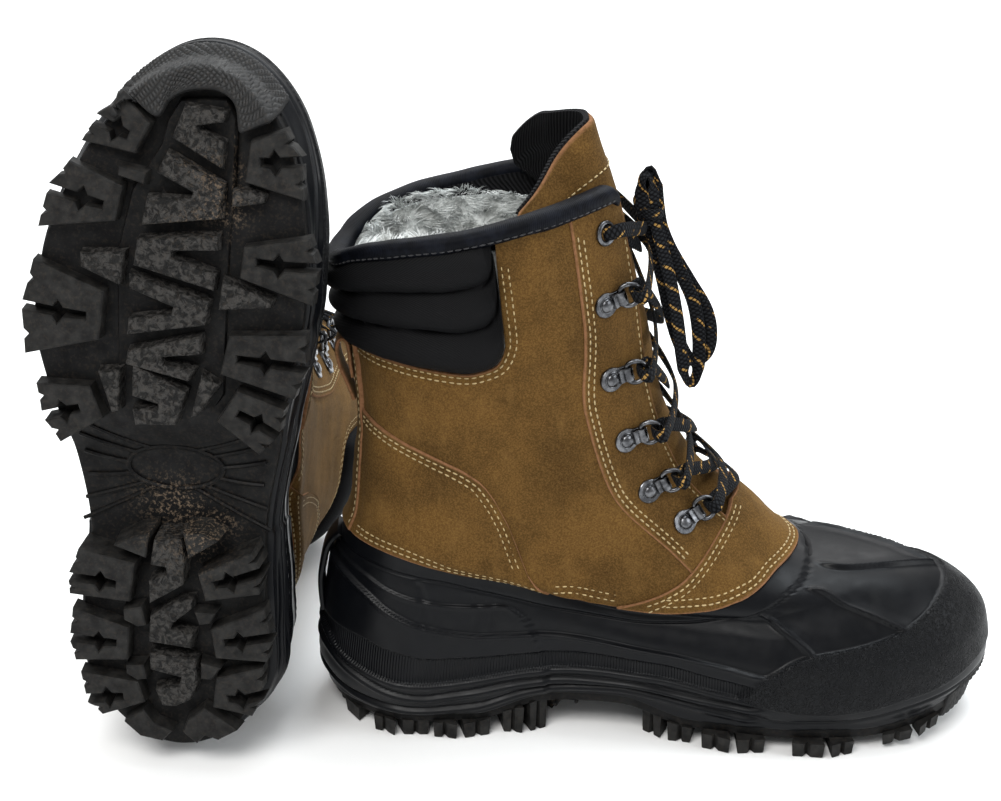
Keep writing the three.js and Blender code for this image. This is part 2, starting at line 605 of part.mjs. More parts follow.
function boot(prefix) {
  const group = new THREE.Group()
  const add = (name, geometry, look) => group.add(part(`${prefix}_${name}`, geometry, look))
  add('outsole', outsole(), 'tread')
  add('foot_shell', footShell(), 'shell')
  add('heel_loop', heelLoop(), 'shell')
  add('insole', insole(), 'felt')
  add('liner', liner(), 'fleece')
  add('backstay', backstay(), 'suede')
  add('vamp', vamp(), 'suede')
  add('tongue', tongue(), 'suede')
  const top = tongueTop()
  add('tongue_top', top.geometry, 'suede')
  group.children.at(-1).position.copy(top.pivot)
  add('collar_pad', collarPad(), 'pad')
  add('collar_binding', collarBinding(), 'tape')
  add('lace', lace(), 'lace')
  add('lace_hank', laceHank(), 'lace')
  for (const side of ['medial', 'lateral']) {
    add(`quarter_${side}`, quarter(side), 'suede')
    add(`heel_panel_${side}`, heelPanel(side), 'suede')
    add(`eyestay_${side}`, eyestay(side), 'suede')
    const tilt = new THREE.Matrix4().makeRotationY(-THREE.MathUtils.degToRad(RING_TILT))
    tilt.setPosition(BAR.x, 0, BAR.z)
    RING_PLACES.forEach((place, i) => {
      const ring = part(`${prefix}_ring_${side}_${i + 1}`, dRing(), 'metal')
      ring.applyMatrix4(ringFrame(place, side).multiply(tilt))
      group.add(ring)
    })
  }
  return group
}

const pair = new THREE.Group()
const standing = boot('left')
const lying = new THREE.Group().add(boot('right'))
lying.children[0].scale.y = -1
const degrees = THREE.MathUtils.degToRad
// Toe up, tread to the front: forward goes to +Z, left to +X and up to +Y, then the boot leans, rolls
// and turns.
const layDown = new THREE.Matrix4().makeBasis(
  new THREE.Vector3(0, 0, 1), new THREE.Vector3(1, 0, 0), new THREE.Vector3(0, 1, 0))
const pose = new THREE.Matrix4().makeRotationZ(-degrees(LIE.yaw))
  .multiply(new THREE.Matrix4().makeRotationY(degrees(LIE.roll)))
  .multiply(new THREE.Matrix4().makeRotationX(-degrees(LIE.lean)))
  .multiply(layDown)
lying.applyMatrix4(pose)
lying.position.set(LIE.x, LIE.y, 0)
pair.add(standing, lying)
pair.updateMatrixWorld(true)
lying.position.z = -new THREE.Box3().setFromObject(lying, true).min.z
pair.updateMatrixWorld(true)
const box = new THREE.Box3().setFromObject(pair, true)
pair.position.set(-(box.min.x + box.max.x) / 2, -(box.min.y + box.max.y) / 2, -box.min.z)
pair.updateMatrixWorld(true)

export default pair
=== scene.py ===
import math

import bmesh
import bpy
import numpy as np
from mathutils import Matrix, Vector


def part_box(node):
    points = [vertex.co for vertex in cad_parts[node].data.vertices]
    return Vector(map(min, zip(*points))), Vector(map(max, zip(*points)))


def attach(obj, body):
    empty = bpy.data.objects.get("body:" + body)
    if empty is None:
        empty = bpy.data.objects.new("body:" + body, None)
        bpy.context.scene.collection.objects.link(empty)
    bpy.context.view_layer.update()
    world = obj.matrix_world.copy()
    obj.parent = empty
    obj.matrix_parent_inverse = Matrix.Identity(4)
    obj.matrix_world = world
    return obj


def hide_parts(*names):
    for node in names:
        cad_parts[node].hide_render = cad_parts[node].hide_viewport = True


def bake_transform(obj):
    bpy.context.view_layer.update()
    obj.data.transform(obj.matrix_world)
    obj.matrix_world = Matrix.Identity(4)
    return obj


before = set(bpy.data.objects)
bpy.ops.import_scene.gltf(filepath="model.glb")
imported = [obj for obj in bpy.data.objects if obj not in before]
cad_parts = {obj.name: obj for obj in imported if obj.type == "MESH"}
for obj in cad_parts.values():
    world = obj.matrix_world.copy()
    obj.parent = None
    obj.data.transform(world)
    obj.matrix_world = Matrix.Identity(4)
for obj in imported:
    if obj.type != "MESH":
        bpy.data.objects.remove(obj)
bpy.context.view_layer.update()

# A pair of insulated hunting boots around the CAD frame. A boot is drawn in its own frame, in millimetres: X to
# the toe, Y to the left, Z up, the back of the heel at x = 0. place() takes it to the row frame, in metres.
MM = 0.001
LENGTH = 318
LIE = {"yaw": 6.9, "roll": 1.8, "lean": 3.6}  # how the right boot lies, degrees


# ---------------------------------------------------------------- curves and the boot's skin
def tangents(x, y):
    step = (x[1:] - x[:-1]).reshape(-1, *[1] * (y.ndim - 1))
    slope = (y[1:] - y[:-1]) / step
    made = np.zeros_like(y)
    made[0], made[-1] = slope[0], slope[-1]
    a, b = slope[:-1], slope[1:]
    same = a * b > 0
    made[1:-1] = np.where(same, 2 * a * b / np.where(same, a + b, 1), 0)
    return made


def hermite(s, width, y0, y1, t0, t1):
    rise = y0 * (1 + 2 * s) * (1 - s) ** 2 + y1 * s * s * (3 - 2 * s)
    return rise + width * (t0 * s * (1 - s) ** 2 - t1 * s * s * (1 - s))


def curve(*points):
    """A smooth curve through (x, y) points that doesn't overshoot them."""
    x, y = np.array(points, float).T
    t = tangents(x, y)

    def at(v):
        v = np.clip(v, x[0], x[-1])
        i = np.clip(np.searchsorted(x, v) - 1, 0, len(x) - 2)
        width = x[i + 1] - x[i]
        return hermite((v - x[i]) / width, width, y[i], y[i + 1], t[i], t[i + 1])

    return at


foot_girth = curve((0, 72), (0.1, 68), (0.2, 54), (0.35, 43), (0.5, 50), (0.68, 64), (0.85, 69), (1, 72))
lean = curve((190, 0), (216, -2.5), (246, -7), (270, -11), (290, -14), (318, -16))


def foot(scale, back, front):
    return lambda f: scale * foot_girth((back + f * (front - back)) / LENGTH)


# Level lines from the tread up to the tip of the tongue: x at the back and front, height and girth between them.
LEVELS = [
    (4, 312, curve((0, 14), (0.22, 14), (0.33, 23), (0.44, 24), (0.55, 14), (0.8, 13), (1, 25)),
     foot(0.95, 4, 312)),
    (0, 318, curve((0, 29), (0.3, 33), (0.45, 33), (0.7, 26), (0.88, 28), (1, 36)), foot(1, 0, 318)),
    (3, 315, curve((0, 54), (0.3, 57), (0.5, 50), (0.7, 43), (0.88, 45), (1, 53)), foot(0.96, 3, 315)),
    (8, 299, curve((0, 80), (0.3, 70), (0.5, 59), (0.7, 56), (0.88, 62), (1, 69)), foot(0.88, 8, 299)),
    (13, 272, curve((0, 94), (0.3, 79), (0.5, 66), (0.7, 64), (0.88, 72), (1, 78)), foot(0.83, 13, 272)),
    (18, 228, curve((0, 106), (0.23, 92), (0.37, 83), (0.58, 71), (0.75, 70), (0.87, 76), (1, 83)),
     curve((0, 60), (0.2, 48), (0.37, 41), (0.54, 43), (0.73, 53), (0.87, 61), (1, 63))),
    (21, 202, curve((0, 128), (0.3, 114), (0.6, 100), (0.8, 98), (1, 104)),
     curve((0, 53), (0.22, 44), (0.42, 39), (0.61, 42), (0.77, 48), (0.91, 47), (1, 46))),
    (23, 177, curve((0, 150), (0.4, 136), (0.8, 124), (1, 128)),
     curve((0, 48), (0.2, 45), (0.45, 39), (0.7, 42), (0.9, 44), (1, 43))),
    (22, 161, curve((0, 175), (0.5, 167), (1, 159)), curve((0, 46), (0.2, 45), (0.5, 41), (0.8, 44), (1, 44))),
    (18, 151, curve((0, 205), (1, 202)), curve((0, 45), (1, 45))),
    (14, 137, curve((0, 226), (0.1, 235), (0.25, 241), (0.45, 246), (0.7, 253), (0.95, 258), (1, 258)),
     curve((0, 47), (1, 47))),
    (13, 125, curve((0, 255), (0.5, 262), (0.8, 276), (1, 288)), curve((0, 46), (1, 44))),
]
TOP = len(LEVELS) - 1
RIM = 10.0  # the level of the collar's rim
BACK_GAP, FRONT_GAP = 22, 30  # how far the middle line under the foot stops short of the heel and the toe


def on_level(k, turn):
    back, front, height, girth = LEVELS[k]
    f = (1 - np.cos(2 * np.pi * turn)) / 2
    x = back + f * (front - back)
    return np.stack([x, lean(x) - np.sin(2 * np.pi * turn) * girth(f), height(f)], -1)


def skin(turn, height):
    """A point of the skin: turn is 0 at the back, 0.25 on the inner side, 0.5 at the front; height is a level."""
    turn, height = np.broadcast_arrays(np.asarray(turn, float), np.asarray(height, float))
    t, h = turn.ravel(), np.clip(height.ravel(), 0, TOP)
    p = np.stack([on_level(k, t) for k in range(TOP + 1)])
    slope = tangents(np.arange(TOP + 1, dtype=float), p)
    i = np.clip(np.ceil(h).astype(int) - 1, 0, TOP - 1)
    n = np.arange(len(t))
    s = (h - i)[:, None]
    return hermite(s, 1, p[i, n], p[i + 1, n], slope[i, n], slope[i + 1, n]).reshape(*turn.shape, 3)


UP = np.array([0, 0, 1.0])
LEFT = np.array([0, 1.0, 0])


def unit(v):
    return v / np.maximum(np.linalg.norm(v, axis=-1, keepdims=True), 1e-9)


def skin_frame(turn, height):
    step = 1e-3
    height = np.asarray(height, float)
    at = skin(turn, height)
    along = unit(skin(turn + step, height) - skin(turn - step, height))
    up = unit(skin(turn, np.minimum(height + step, TOP)) - skin(turn, np.maximum(height - step, 0)))
    return at, along, up, unit(np.cross(along, up))


def offset(turn, height, out):
    at, _, _, normal = skin_frame(turn, height)
    return at + normal * np.asarray(out, float)[..., None]


def sole(turn, inward, depth, outset=0.0):
    """A point under the foot: inward is 0 at the feather edge and 1 on the middle line."""
    turn, inward = np.broadcast_arrays(np.asarray(turn, float), np.asarray(inward, float))
    edge = on_level(0, turn)
    f = (1 - np.cos(2 * np.pi * turn)) / 2
    x = (LEVELS[0][0] + BACK_GAP) + f * (LEVELS[0][1] - LEVELS[0][0] - BACK_GAP - FRONT_GAP)
    middle = np.stack([x, lean(x), edge[..., 2]], -1)
    p = edge + (middle - edge) * inward[..., None] + unit(edge - middle) * (outset * (1 - inward))[..., None]
    p[..., 2] -= depth
    return p


def smooth(x, low=0.0, high=1.0):
    s = np.clip((x - low) / (high - low), 0, 1)
    return s * s * (3 - 2 * s)


def ridge(distance, width):
    return np.exp(-((distance / width) ** 2))


def wobble(p, size, seed):
    """Smooth noise from about -1 to 1 that changes over size millimetres."""
    r = np.random.default_rng(seed)
    k = unit(r.normal(size=(9, 3))) * r.uniform(0.7, 1.5, (9, 1)) * 2 * np.pi / size
    return np.sin(p @ k.T + r.uniform(0, 2 * np.pi, 9)).sum(-1) / 3


# ---------------------------------------------------------------- where the two boots are
def turned(axis, degrees):
    a = math.radians(degrees)
    c, s = math.cos(a), math.sin(a)
    i, j = {"x": (1, 2), "y": (2, 0), "z": (0, 1)}[axis]
    m = np.eye(3)
    m[i, i] = m[j, j] = c
    m[j, i], m[i, j] = s, -s
    return m


LAY_DOWN = np.array([[0, 1, 0], [0, 0, 1], [1, 0, 0]], float)
POSES = {
    "left": np.eye(3),
    "right": turned("z", -LIE["yaw"]) @ turned("y", LIE["roll"]) @ turned("x", -LIE["lean"])
    @ LAY_DOWN @ np.diag([1.0, -1.0, 1.0]),
}
FOOT_TURNS = [*np.linspace(-0.372, 0.372, 25), 0.41, 0.455, 0.5, 0.545, 0.59]


def place_of(side):
    """The offset of a boot, from the box of its foot shell in the frame."""
    shell = offset(*np.meshgrid(FOOT_TURNS, [1, 2, 3, 4, 4.95]), 0.0).reshape(-1, 3) @ POSES[side].T
    return np.array(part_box(f"{side}_foot_shell")[1]) / MM - shell.max(0)


PLACES = {side: place_of(side) for side in POSES}


def place(side, points):
    return (np.asarray(points, float) @ POSES[side].T + PLACES[side]) * MM


# ---------------------------------------------------------------- camera
eye = bpy.data.cameras.new("camera")
eye.sensor_width = 36
eye.lens = 58.4
camera = bpy.data.objects.new("camera", eye)
camera.location = place("left", (62.8, -684.8, 451.7))
camera.rotation_euler = (math.radians(66.55), 0, math.radians(-1.92))
bpy.context.scene.collection.objects.link(camera)
bpy.context.scene.camera = camera


# ---------------------------------------------------------------- shapes
# A shape is a dict: points, faces, and where needed uv in millimetres and named values, all per point.
def grid_faces(rows, cols, wrap=False):
    i, j = np.meshgrid(np.arange(rows - 1), np.arange(cols if wrap else cols - 1), indexing="ij")
    a, b = i * cols + j, i * cols + (j + 1) % cols
    return np.stack([a, b, b + cols, a + cols], -1).reshape(-1, 4)


def slab(outer, inner, wrap=False, uv=None, **values):
    """A closed sheet between two grids of points, rows going up and columns along."""
    rows, cols = outer.shape[:2]
    n = rows * cols
    ids = np.arange(n).reshape(rows, cols)
    face = grid_faces(rows, cols, wrap)
    closing = [ids[:1, 0]] if wrap else []
    borders = [np.concatenate([ids[0], *closing])]
    borders.append(np.concatenate([ids[-1], *[c + n - cols for c in closing]])[::-1])
    if not wrap:
        borders += [ids[:, -1], ids[::-1, 0]]
    walls = [np.stack([b[1:], b[:-1], b[:-1] + n, b[1:] + n], -1) for b in borders]
    faces = np.concatenate([face, face[:, ::-1] + n, *walls])
    shape = {"points": np.concatenate([outer.reshape(-1, 3), inner.reshape(-1, 3)]), "faces": faces}
    if uv is not None:
        shape["uv"] = np.tile(uv.reshape(-1, 2), (2, 1))
    shape["values"] = {k: np.tile(v.ravel(), 2) for k, v in values.items()}
    return shape


def lengths(p, axis):
    """Distance along the grid's lines from their first point."""
    step = np.linalg.norm(np.diff(p, axis=axis), axis=-1)
    pad = [(1, 0) if a == axis else (0, 0) for a in (0, 1)]
    return np.pad(np.cumsum(step, axis), pad)


def edge_distance(down, across):
    """Distance to the nearest border of a grid, from the distances along its lines."""
    return np.minimum(np.minimum(down, down[-1:] - down), np.minimum(across, across[:, -1:] - across))


def rounded(distance, radius):
    """How far a surface falls towards an edge at that distance."""
    d = radius - np.minimum(distance, radius)
    return radius - np.sqrt(np.maximum(radius * radius - d * d, 0))


def spread(length, step=2.4, fine=(0.25, 0.6, 1.1, 1.9)):
    """Shares of a length, closer together at both ends."""
    ends = np.array([0, *fine]) / length
    count = max(2, int((length * (1 - 2 * ends[-1])) / step))
    return np.concatenate([ends[:-1], np.linspace(ends[-1], 1 - ends[-1], count), 1 - ends[:-1][::-1]])


def distances(p):
    """Distance along a line of points from its first point."""
    return np.concatenate([[0], np.cumsum(np.linalg.norm(np.diff(p, axis=0), axis=1))])


def tube_faces(rows, count, flip=False):
    """Faces of rings of count points, closed by a cap at both ends."""
    first, last = list(range(count)), list(range((rows - 1) * count, rows * count))
    caps = [first, last[::-1]] if flip else [first[::-1], last]
    return grid_faces(rows, count, wrap=True).tolist() + caps


def joined(shapes):
    points, faces, start = [], [], 0
    for s in shapes:
        points.append(s["points"])
        faces += [[v + start for v in f] for f in np.asarray(s["faces"], dtype=object).tolist()]
        start += len(s["points"])
    made = {"points": np.concatenate(points), "faces": faces}
    if all("uv" in s for s in shapes):
        made["uv"] = np.concatenate([s["uv"] for s in shapes])
    names = set().union(*[s.get("values", {}) for s in shapes])
    made["values"] = {}
    for k in names:
        each = [s.get("values", {}).get(k, np.zeros(len(s["points"]))) for s in shapes]
        made["values"][k] = np.concatenate(each)
    return made


def moved(shape, m):
    return {**shape, "points": shape["points"] @ m[:3, :3].T + m[:3, 3]}


def ribbon(points, sides, width, thick, facets=10, loop=False, power=1.0):
    """A flat or round strand swept along points; sides gives the direction of its width."""
    p, sides = np.asarray(points, float), np.asarray(sides, float)
    if loop:
        ahead = unit(np.roll(p, -1, 0) - np.roll(p, 1, 0))
    else:
        ahead = unit(np.gradient(p, axis=0))
    side = unit(sides - ahead * (ahead * sides).sum(-1, keepdims=True))
    out = np.cross(ahead, side)
    a = 2 * np.pi * (np.arange(facets) + 0.5) / facets
    c, s = np.cos(a), np.sin(a)
    c, s = np.sign(c) * np.abs(c) ** power, np.sign(s) * np.abs(s) ** power
    w, h = np.broadcast_to(width, len(p)) / 2, np.broadcast_to(thick, len(p)) / 2
    ring = p[:, None] + side[:, None] * (w[:, None] * c)[..., None] + out[:, None] * (h[:, None] * s)[..., None]
    rows = np.concatenate([ring, ring[:1]]) if loop else ring
    if loop:
        faces = grid_faces(len(rows), facets, wrap=True) % (len(p) * facets)
        return {"points": ring.reshape(-1, 3), "faces": faces.tolist()}
    uv = np.stack(np.broadcast_arrays(distances(p)[:, None], (np.arange(facets) / facets)[None]), -1)
    return {"points": ring.reshape(-1, 3), "faces": tube_faces(len(p), facets), "uv": uv.reshape(-1, 2),
            "values": {"across": np.tile(c, len(p))}}


def block(outline, top, base, draft=0.9, bevel=0.7):
    """A moulded block of the tread: a closed outline, from top(x) up to base(x), with bevelled edges."""
    xy = np.array(outline, float) * (1, -1)
    area = np.sum(xy[:, 0] * np.roll(xy[:, 1], -1) - np.roll(xy[:, 0], -1) * xy[:, 1])
    if area < 0:
        xy = xy[::-1]
    ahead = unit(np.roll(xy, -1, 0) - xy)
    normal = np.stack([ahead[:, 1], -ahead[:, 0]], -1)
    both = unit(normal + np.roll(normal, 1, 0))
    reach = 1 / np.maximum((both * normal).sum(-1), 0.5)
    rings = []
    for grow, z in ((draft, base(xy[:, 0])), (0.0, top(xy[:, 0]) + bevel), (-bevel * 0.8, top(xy[:, 0]))):
        rings.append(np.column_stack([xy + both * (reach * grow)[:, None], z]))
    return {"points": np.concatenate(rings), "faces": tube_faces(3, len(xy), flip=True)}


def lathe(profile, count=20):
    """A turned piece about Z from (radius, z) points, closed on its axis."""
    a = 2 * np.pi * np.arange(count) / count
    rings = [np.stack([r * np.cos(a), r * np.sin(a), np.full(count, z)], -1) for r, z in profile]
    return {"points": np.concatenate(rings), "faces": tube_faces(len(profile), count)}


def prism(outline, low, high, bevel=0.25):
    """A plate of the given outline with a bevelled upper edge."""
    xy = np.array(outline, float)
    centre = xy.mean(0)
    inset = xy - unit(xy - centre) * bevel
    rings = [np.column_stack([xy, np.full(len(xy), low)]), np.column_stack([xy, np.full(len(xy), high - bevel)]),
             np.column_stack([inset, np.full(len(xy), high)])]
    return {"points": np.concatenate(rings), "faces": tube_faces(3, len(xy))}


def add(side, name, shape, material, body="boot", nodes=(), sharp=38, recalc=False, crease=True):
    """Makes a piece of one boot from a shape, in the row frame, and rides it on its body, if it has just one."""
    points = place(side, shape["points"])
    faces = shape["faces"].tolist() if isinstance(shape["faces"], np.ndarray) else shape["faces"]
    if side == "right":
        faces = [f[::-1] for f in faces]
    mesh = bpy.data.meshes.new(f"{side}_{name}")
    mesh.from_pydata(points.tolist(), [], faces)
    mesh.update()
    if "uv" in shape:
        layer = mesh.uv_layers.new(name="UVMap")
        corner = np.zeros(len(mesh.loops), np.int32)
        mesh.loops.foreach_get("vertex_index", corner)
        layer.data.foreach_set("uv", (shape["uv"][corner] * MM).astype(np.float32).ravel())
    for key, value in shape.get("values", {}).items():
        made = mesh.attributes.new(key, "FLOAT", "POINT")
        made.data.foreach_set("value", np.asarray(value, np.float32))
    if recalc:
        b = bmesh.new()
        b.from_mesh(mesh)
        bmesh.ops.recalc_face_normals(b, faces=b.faces)
        b.to_mesh(mesh)
        b.free()
    mesh.polygons.foreach_set("use_smooth", [True] * len(mesh.polygons))
    if crease:
        mesh.set_sharp_from_angle(angle=math.radians(sharp))
    mesh.materials.append(material)
    o = bpy.data.objects.new(f"{side}_{name}_fine", mesh)
    bpy.context.scene.collection.objects.link(o)
    if body:
        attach(o, f"{side}_{body}")
    if nodes:
        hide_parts(*[f"{side}_{n}" for n in nodes])
    return o


# ---------------------------------------------------------------- materials
WAVES_PER_METRE = 0.314  # scale of a wave texture with one wave to a metre


class Look:
    """A procedural material. Positions are the object's own, in metres."""

    def __init__(self, name, color, rough, metal=0.0, **sockets):
        self.mat = bpy.data.materials.new(name)
        self.mat.use_nodes = True
        self.nodes, self.links = self.mat.node_tree.nodes, self.mat.node_tree.links
        self.shader = self.nodes["Principled BSDF"]
        self.shader.inputs["Base Color"].default_value = (*color, 1)
        self.shader.inputs["Roughness"].default_value = rough
        self.shader.inputs["Metallic"].default_value = metal
        for key, value in sockets.items():
            self.shader.inputs[key.replace("_", " ")].default_value = value
        self.where = self.new("ShaderNodeTexCoord").outputs["Object"]
        self.height = None

    def new(self, kind, **settings):
        node = self.nodes.new(kind)
        for key, value in settings.items():
            setattr(node, key, value)
        return node

    def put(self, socket, value):
        if isinstance(value, bpy.types.NodeSocket):
            self.links.new(value, socket)
        else:
            socket.default_value = value

    def noise(self, size, detail=3, rough=0.55, stretch=None, distort=0.0):
        """Noise from 0 to 1; size is in millimetres."""
        node = self.new("ShaderNodeTexNoise")
        where = self.where
        if stretch is not None:
            scale = self.new("ShaderNodeMapping")
            self.put(scale.inputs["Vector"], self.where)
            scale.inputs["Scale"].default_value = stretch
            where = scale.outputs["Vector"]
        self.put(node.inputs["Vector"], where)
        node.inputs["Scale"].default_value = 1 / (size * MM)
        node.inputs["Detail"].default_value = detail
        node.inputs["Roughness"].default_value = rough
        node.inputs["Distortion"].default_value = distort
        return node.outputs["Fac"]

    def waves(self, size, rotation=None):
        """Straight waves, size millimetres apart, over the UV map."""
        where = self.new("ShaderNodeUVMap").outputs["UV"]
        if rotation is not None:
            turn = self.new("ShaderNodeMapping")
            self.put(turn.inputs["Vector"], where)
            turn.inputs["Rotation"].default_value = (0, 0, math.radians(rotation))
            where = turn.outputs["Vector"]
        node = self.new("ShaderNodeTexWave", bands_direction="X", wave_profile="SIN")
        self.put(node.inputs["Vector"], where)
        node.inputs["Scale"].default_value = WAVES_PER_METRE / (size * MM)
        return node.outputs["Fac"]

    def value(self, name):
        return self.new("ShaderNodeAttribute", attribute_name=name).outputs["Fac"]

    def math(self, operation, a, b=0.0, clamp=False):
        node = self.new("ShaderNodeMath", operation=operation, use_clamp=clamp)
        self.put(node.inputs[0], a)
        self.put(node.inputs[1], b)
        return node.outputs[0]

    def times(self, a, b, clamp=False):
        return self.math("MULTIPLY", a, b, clamp)

    def span(self, value, low, high, to_low=0.0, to_high=1.0):
        node = self.new("ShaderNodeMapRange", interpolation_type="SMOOTHSTEP")
        ends = {"Value": value, "From Min": low, "From Max": high, "To Min": to_low, "To Max": to_high}
        for key, v in ends.items():
            self.put(node.inputs[key], v)
        return node.outputs[0]

    def mix(self, fac, a, b, blend="MIX"):
        node = self.new("ShaderNodeMix", data_type="RGBA", blend_type=blend)
        self.put(node.inputs["Factor"], fac)
        self.put(node.inputs[6], a if isinstance(a, bpy.types.NodeSocket) else (*a, 1))
        self.put(node.inputs[7], b if isinstance(b, bpy.types.NodeSocket) else (*b, 1))
        return node.outputs[2]

    def color(self, value):
        self.put(self.shader.inputs["Base Color"], value)
        return self

    def rough(self, value):
        self.put(self.shader.inputs["Roughness"], value)
        return self

    def bump(self, height, depth, strength=1.0):
        """Relief of the given depth in millimetres; calls add up."""
        node = self.new("ShaderNodeBump")
        self.put(node.inputs["Strength"], strength)
        node.inputs["Distance"].default_value = depth * MM
        self.put(node.inputs["Height"], height)
        if self.height is not None:
            self.put(node.inputs["Normal"], self.height)
        self.height = node.outputs["Normal"]
        self.put(self.shader.inputs["Normal"], self.height)
        return self


def suede():
    m = Look("suede", (0.11, 0.06, 0.018), 0.92, Sheen_Weight=0.06, Sheen_Roughness=0.5, Specular_IOR_Level=0.12)
    m.shader.inputs["Sheen Tint"].default_value = (0.75, 0.55, 0.3, 1)
    broad = m.span(m.noise(34, 3, 0.6), 0.35, 0.68)
    tone = m.mix(broad, (0.056, 0.027, 0.0056), (0.112, 0.056, 0.0128))
    nap = m.noise(0.8, 4, 0.75)
    dark, light = m.mix(0.35, tone, (0.02, 0.009, 0.002)), m.mix(0.18, tone, (0.28, 0.165, 0.05))
    tone = m.mix(m.span(nap, 0.38, 0.66), dark, light)
    streak = m.span(m.noise(11, 4, 0.65, stretch=(1, 1, 0.45)), 0.5, 0.8)
    tone = m.mix(m.times(streak, 0.3), tone, (0.19, 0.105, 0.03))
    rim = m.times(m.value("edge"), m.span(m.noise(2, 3), 0.25, 0.6, 0.35, 0.95), clamp=True)
    m.color(m.mix(rim, tone, (0.23, 0.11, 0.055)))
    m.bump(m.noise(2.4, 4, 0.65), 0.35, 0.5).bump(nap, 0.22, 0.9)
    return m.mat


def shell_rubber():
    m = Look("shell_rubber", (0.005, 0.0055, 0.0065), 0.36, Specular_IOR_Level=0.15)
    dust = m.span(m.noise(18, 5, 0.7), 0.45, 0.8)
    # The clean rubber keeps its own near-black tone, tinted blue as a painted cool sheen; the dust patches are a
    # real, warmer grey.
    m.color(m.mix(m.times(dust, 0.3), (0.0022, 0.0025, 0.0034), (0.009, 0.0085, 0.008)))
    pebble = m.value("pebble")
    m.rough(m.math("ADD", m.span(m.noise(7, 4), 0.3, 0.7, 0.31, 0.43), m.times(pebble, 0.12)))
    worm = m.math("ABSOLUTE", m.math("SUBTRACT", m.noise(2.6, 1.5, 0.5, distort=1.6), 0.5))
    m.bump(m.span(worm, 0.0, 0.1), 1.0, pebble)
    ribs = m.waves(1.35)
    m.bump(ribs, 0.35, m.value("ribbed"))
    m.bump(m.noise(0.6, 2), 0.03, 0.35)
    return m.mat


def tread_rubber():
    m = Look("tread_rubber", (0.014, 0.0135, 0.013), 0.55, Specular_IOR_Level=0.14)
    stone = m.value("stone")
    grain = m.noise(2.8, 4, 0.6, distort=0.8)
    tone = m.mix(m.span(m.noise(9, 4), 0.3, 0.7), (0.0015, 0.0015, 0.0018), (0.0045, 0.0045, 0.0045))
    tone = m.mix(m.times(stone, m.span(grain, 0.42, 0.6, 0.0, 0.75)), tone, (0.05, 0.047, 0.044))
    tone = m.mix(m.times(m.value("worn"), m.span(m.noise(5, 4), 0.3, 0.75, 0.1, 0.5)), tone,
                 (0.035, 0.034, 0.032))
    tone = m.mix(m.times(m.value("knurl"), 0.6), tone, (0.06, 0.06, 0.06))
    dirt = m.times(m.value("dirt"), m.span(m.noise(1.6, 5, 0.7), 0.5, 0.62), clamp=True)
    m.color(m.mix(dirt, tone, (0.13, 0.095, 0.065)))
    m.rough(m.span(m.noise(6, 3), 0.3, 0.7, 0.5, 0.72))
    m.bump(grain, 2.4, stone)
    m.bump(m.noise(1.1, 3), 0.12, 0.5)
    m.bump(m.noise(1.2, 5, 0.7), 0.8, dirt)
    return m.mat


def padded_nylon():
    m = Look("padded_nylon", (0.004, 0.004, 0.0045), 0.6, Specular_IOR_Level=0.06)
    twill = m.waves(0.85, rotation=52)
    m.color(m.mix(twill, (0.0025, 0.0025, 0.003), (0.009, 0.009, 0.0095)))
    m.bump(twill, 0.12, 0.9).bump(m.noise(4, 3), 0.2, 0.3)
    return m.mat


def knit():
    m = Look("knit", (0.006, 0.006, 0.007), 0.85, Specular_IOR_Level=0.12)
    ribs = m.waves(1.9, rotation=-24)
    m.color(m.mix(ribs, (0.002, 0.002, 0.0025), (0.013, 0.013, 0.014)))
    m.bump(ribs, 0.7, 1.0).bump(m.noise(0.7, 2), 0.15, 0.6)
    return m.mat


def fleece():
    m = Look("fleece", (0.4, 0.41, 0.4), 0.95, Sheen_Weight=0.1, Specular_IOR_Level=0.1)
    tone = m.mix(m.span(m.noise(9, 4, 0.65), 0.36, 0.66), (0.48, 0.495, 0.48), (0.84, 0.865, 0.855))
    tone = m.mix(m.times(m.value("tip"), 0.6), tone, (0.93, 0.95, 0.945))
    m.color(m.mix(m.span(m.noise(1.1, 2), 0.5, 0.75, 0, 0.3), tone, (0.3, 0.3, 0.29)))
    m.bump(m.noise(1.5, 3), 0.5, 0.6)
    return m.mat


def binding_tape():
    m = Look("binding_tape", (0.008, 0.009, 0.013), 0.5, Specular_IOR_Level=0.07)
    m.color(m.mix(m.span(m.noise(6, 4), 0.35, 0.7), (0.0015, 0.0018, 0.003), (0.005, 0.006, 0.0095)))
    m.bump(m.waves(0.8), 0.12, 0.7).bump(m.noise(5, 3), 0.35, 0.4)
    return m.mat


def lace_braid():
    m = Look("lace_braid", (0.008, 0.008, 0.008), 0.8, Specular_IOR_Level=0.08)
    split = m.new("ShaderNodeSeparateXYZ")
    m.put(split.inputs[0], m.new("ShaderNodeUVMap").outputs["UV"])
    along, round_it = split.outputs[0], split.outputs[1]

    def strand(per_metre, per_round):
        turn = m.times(round_it, per_round / MM)
        return m.math("SINE", m.math("ADD", m.times(along, per_metre), turn))

    one, other = (m.math("ABSOLUTE", strand(1500.0, way * 6 * math.pi)) for way in (1, -1))
    weave = m.times(one, other)
    line = m.span(strand(620.0, 4 * math.pi), 0.84, 0.94)
    fleck = m.times(line, m.span(other, 0.3, 0.6))
    gold = m.times(fleck, m.span(m.noise(5, 1), 0.47, 0.53))
    tone = m.mix(m.span(weave, 0.1, 0.8), (0.0015, 0.0015, 0.002), (0.014, 0.015, 0.017))
    m.color(m.mix(gold, tone, (0.33, 0.19, 0.055)))
    m.bump(weave, 0.35, 0.8)
    return m.mat


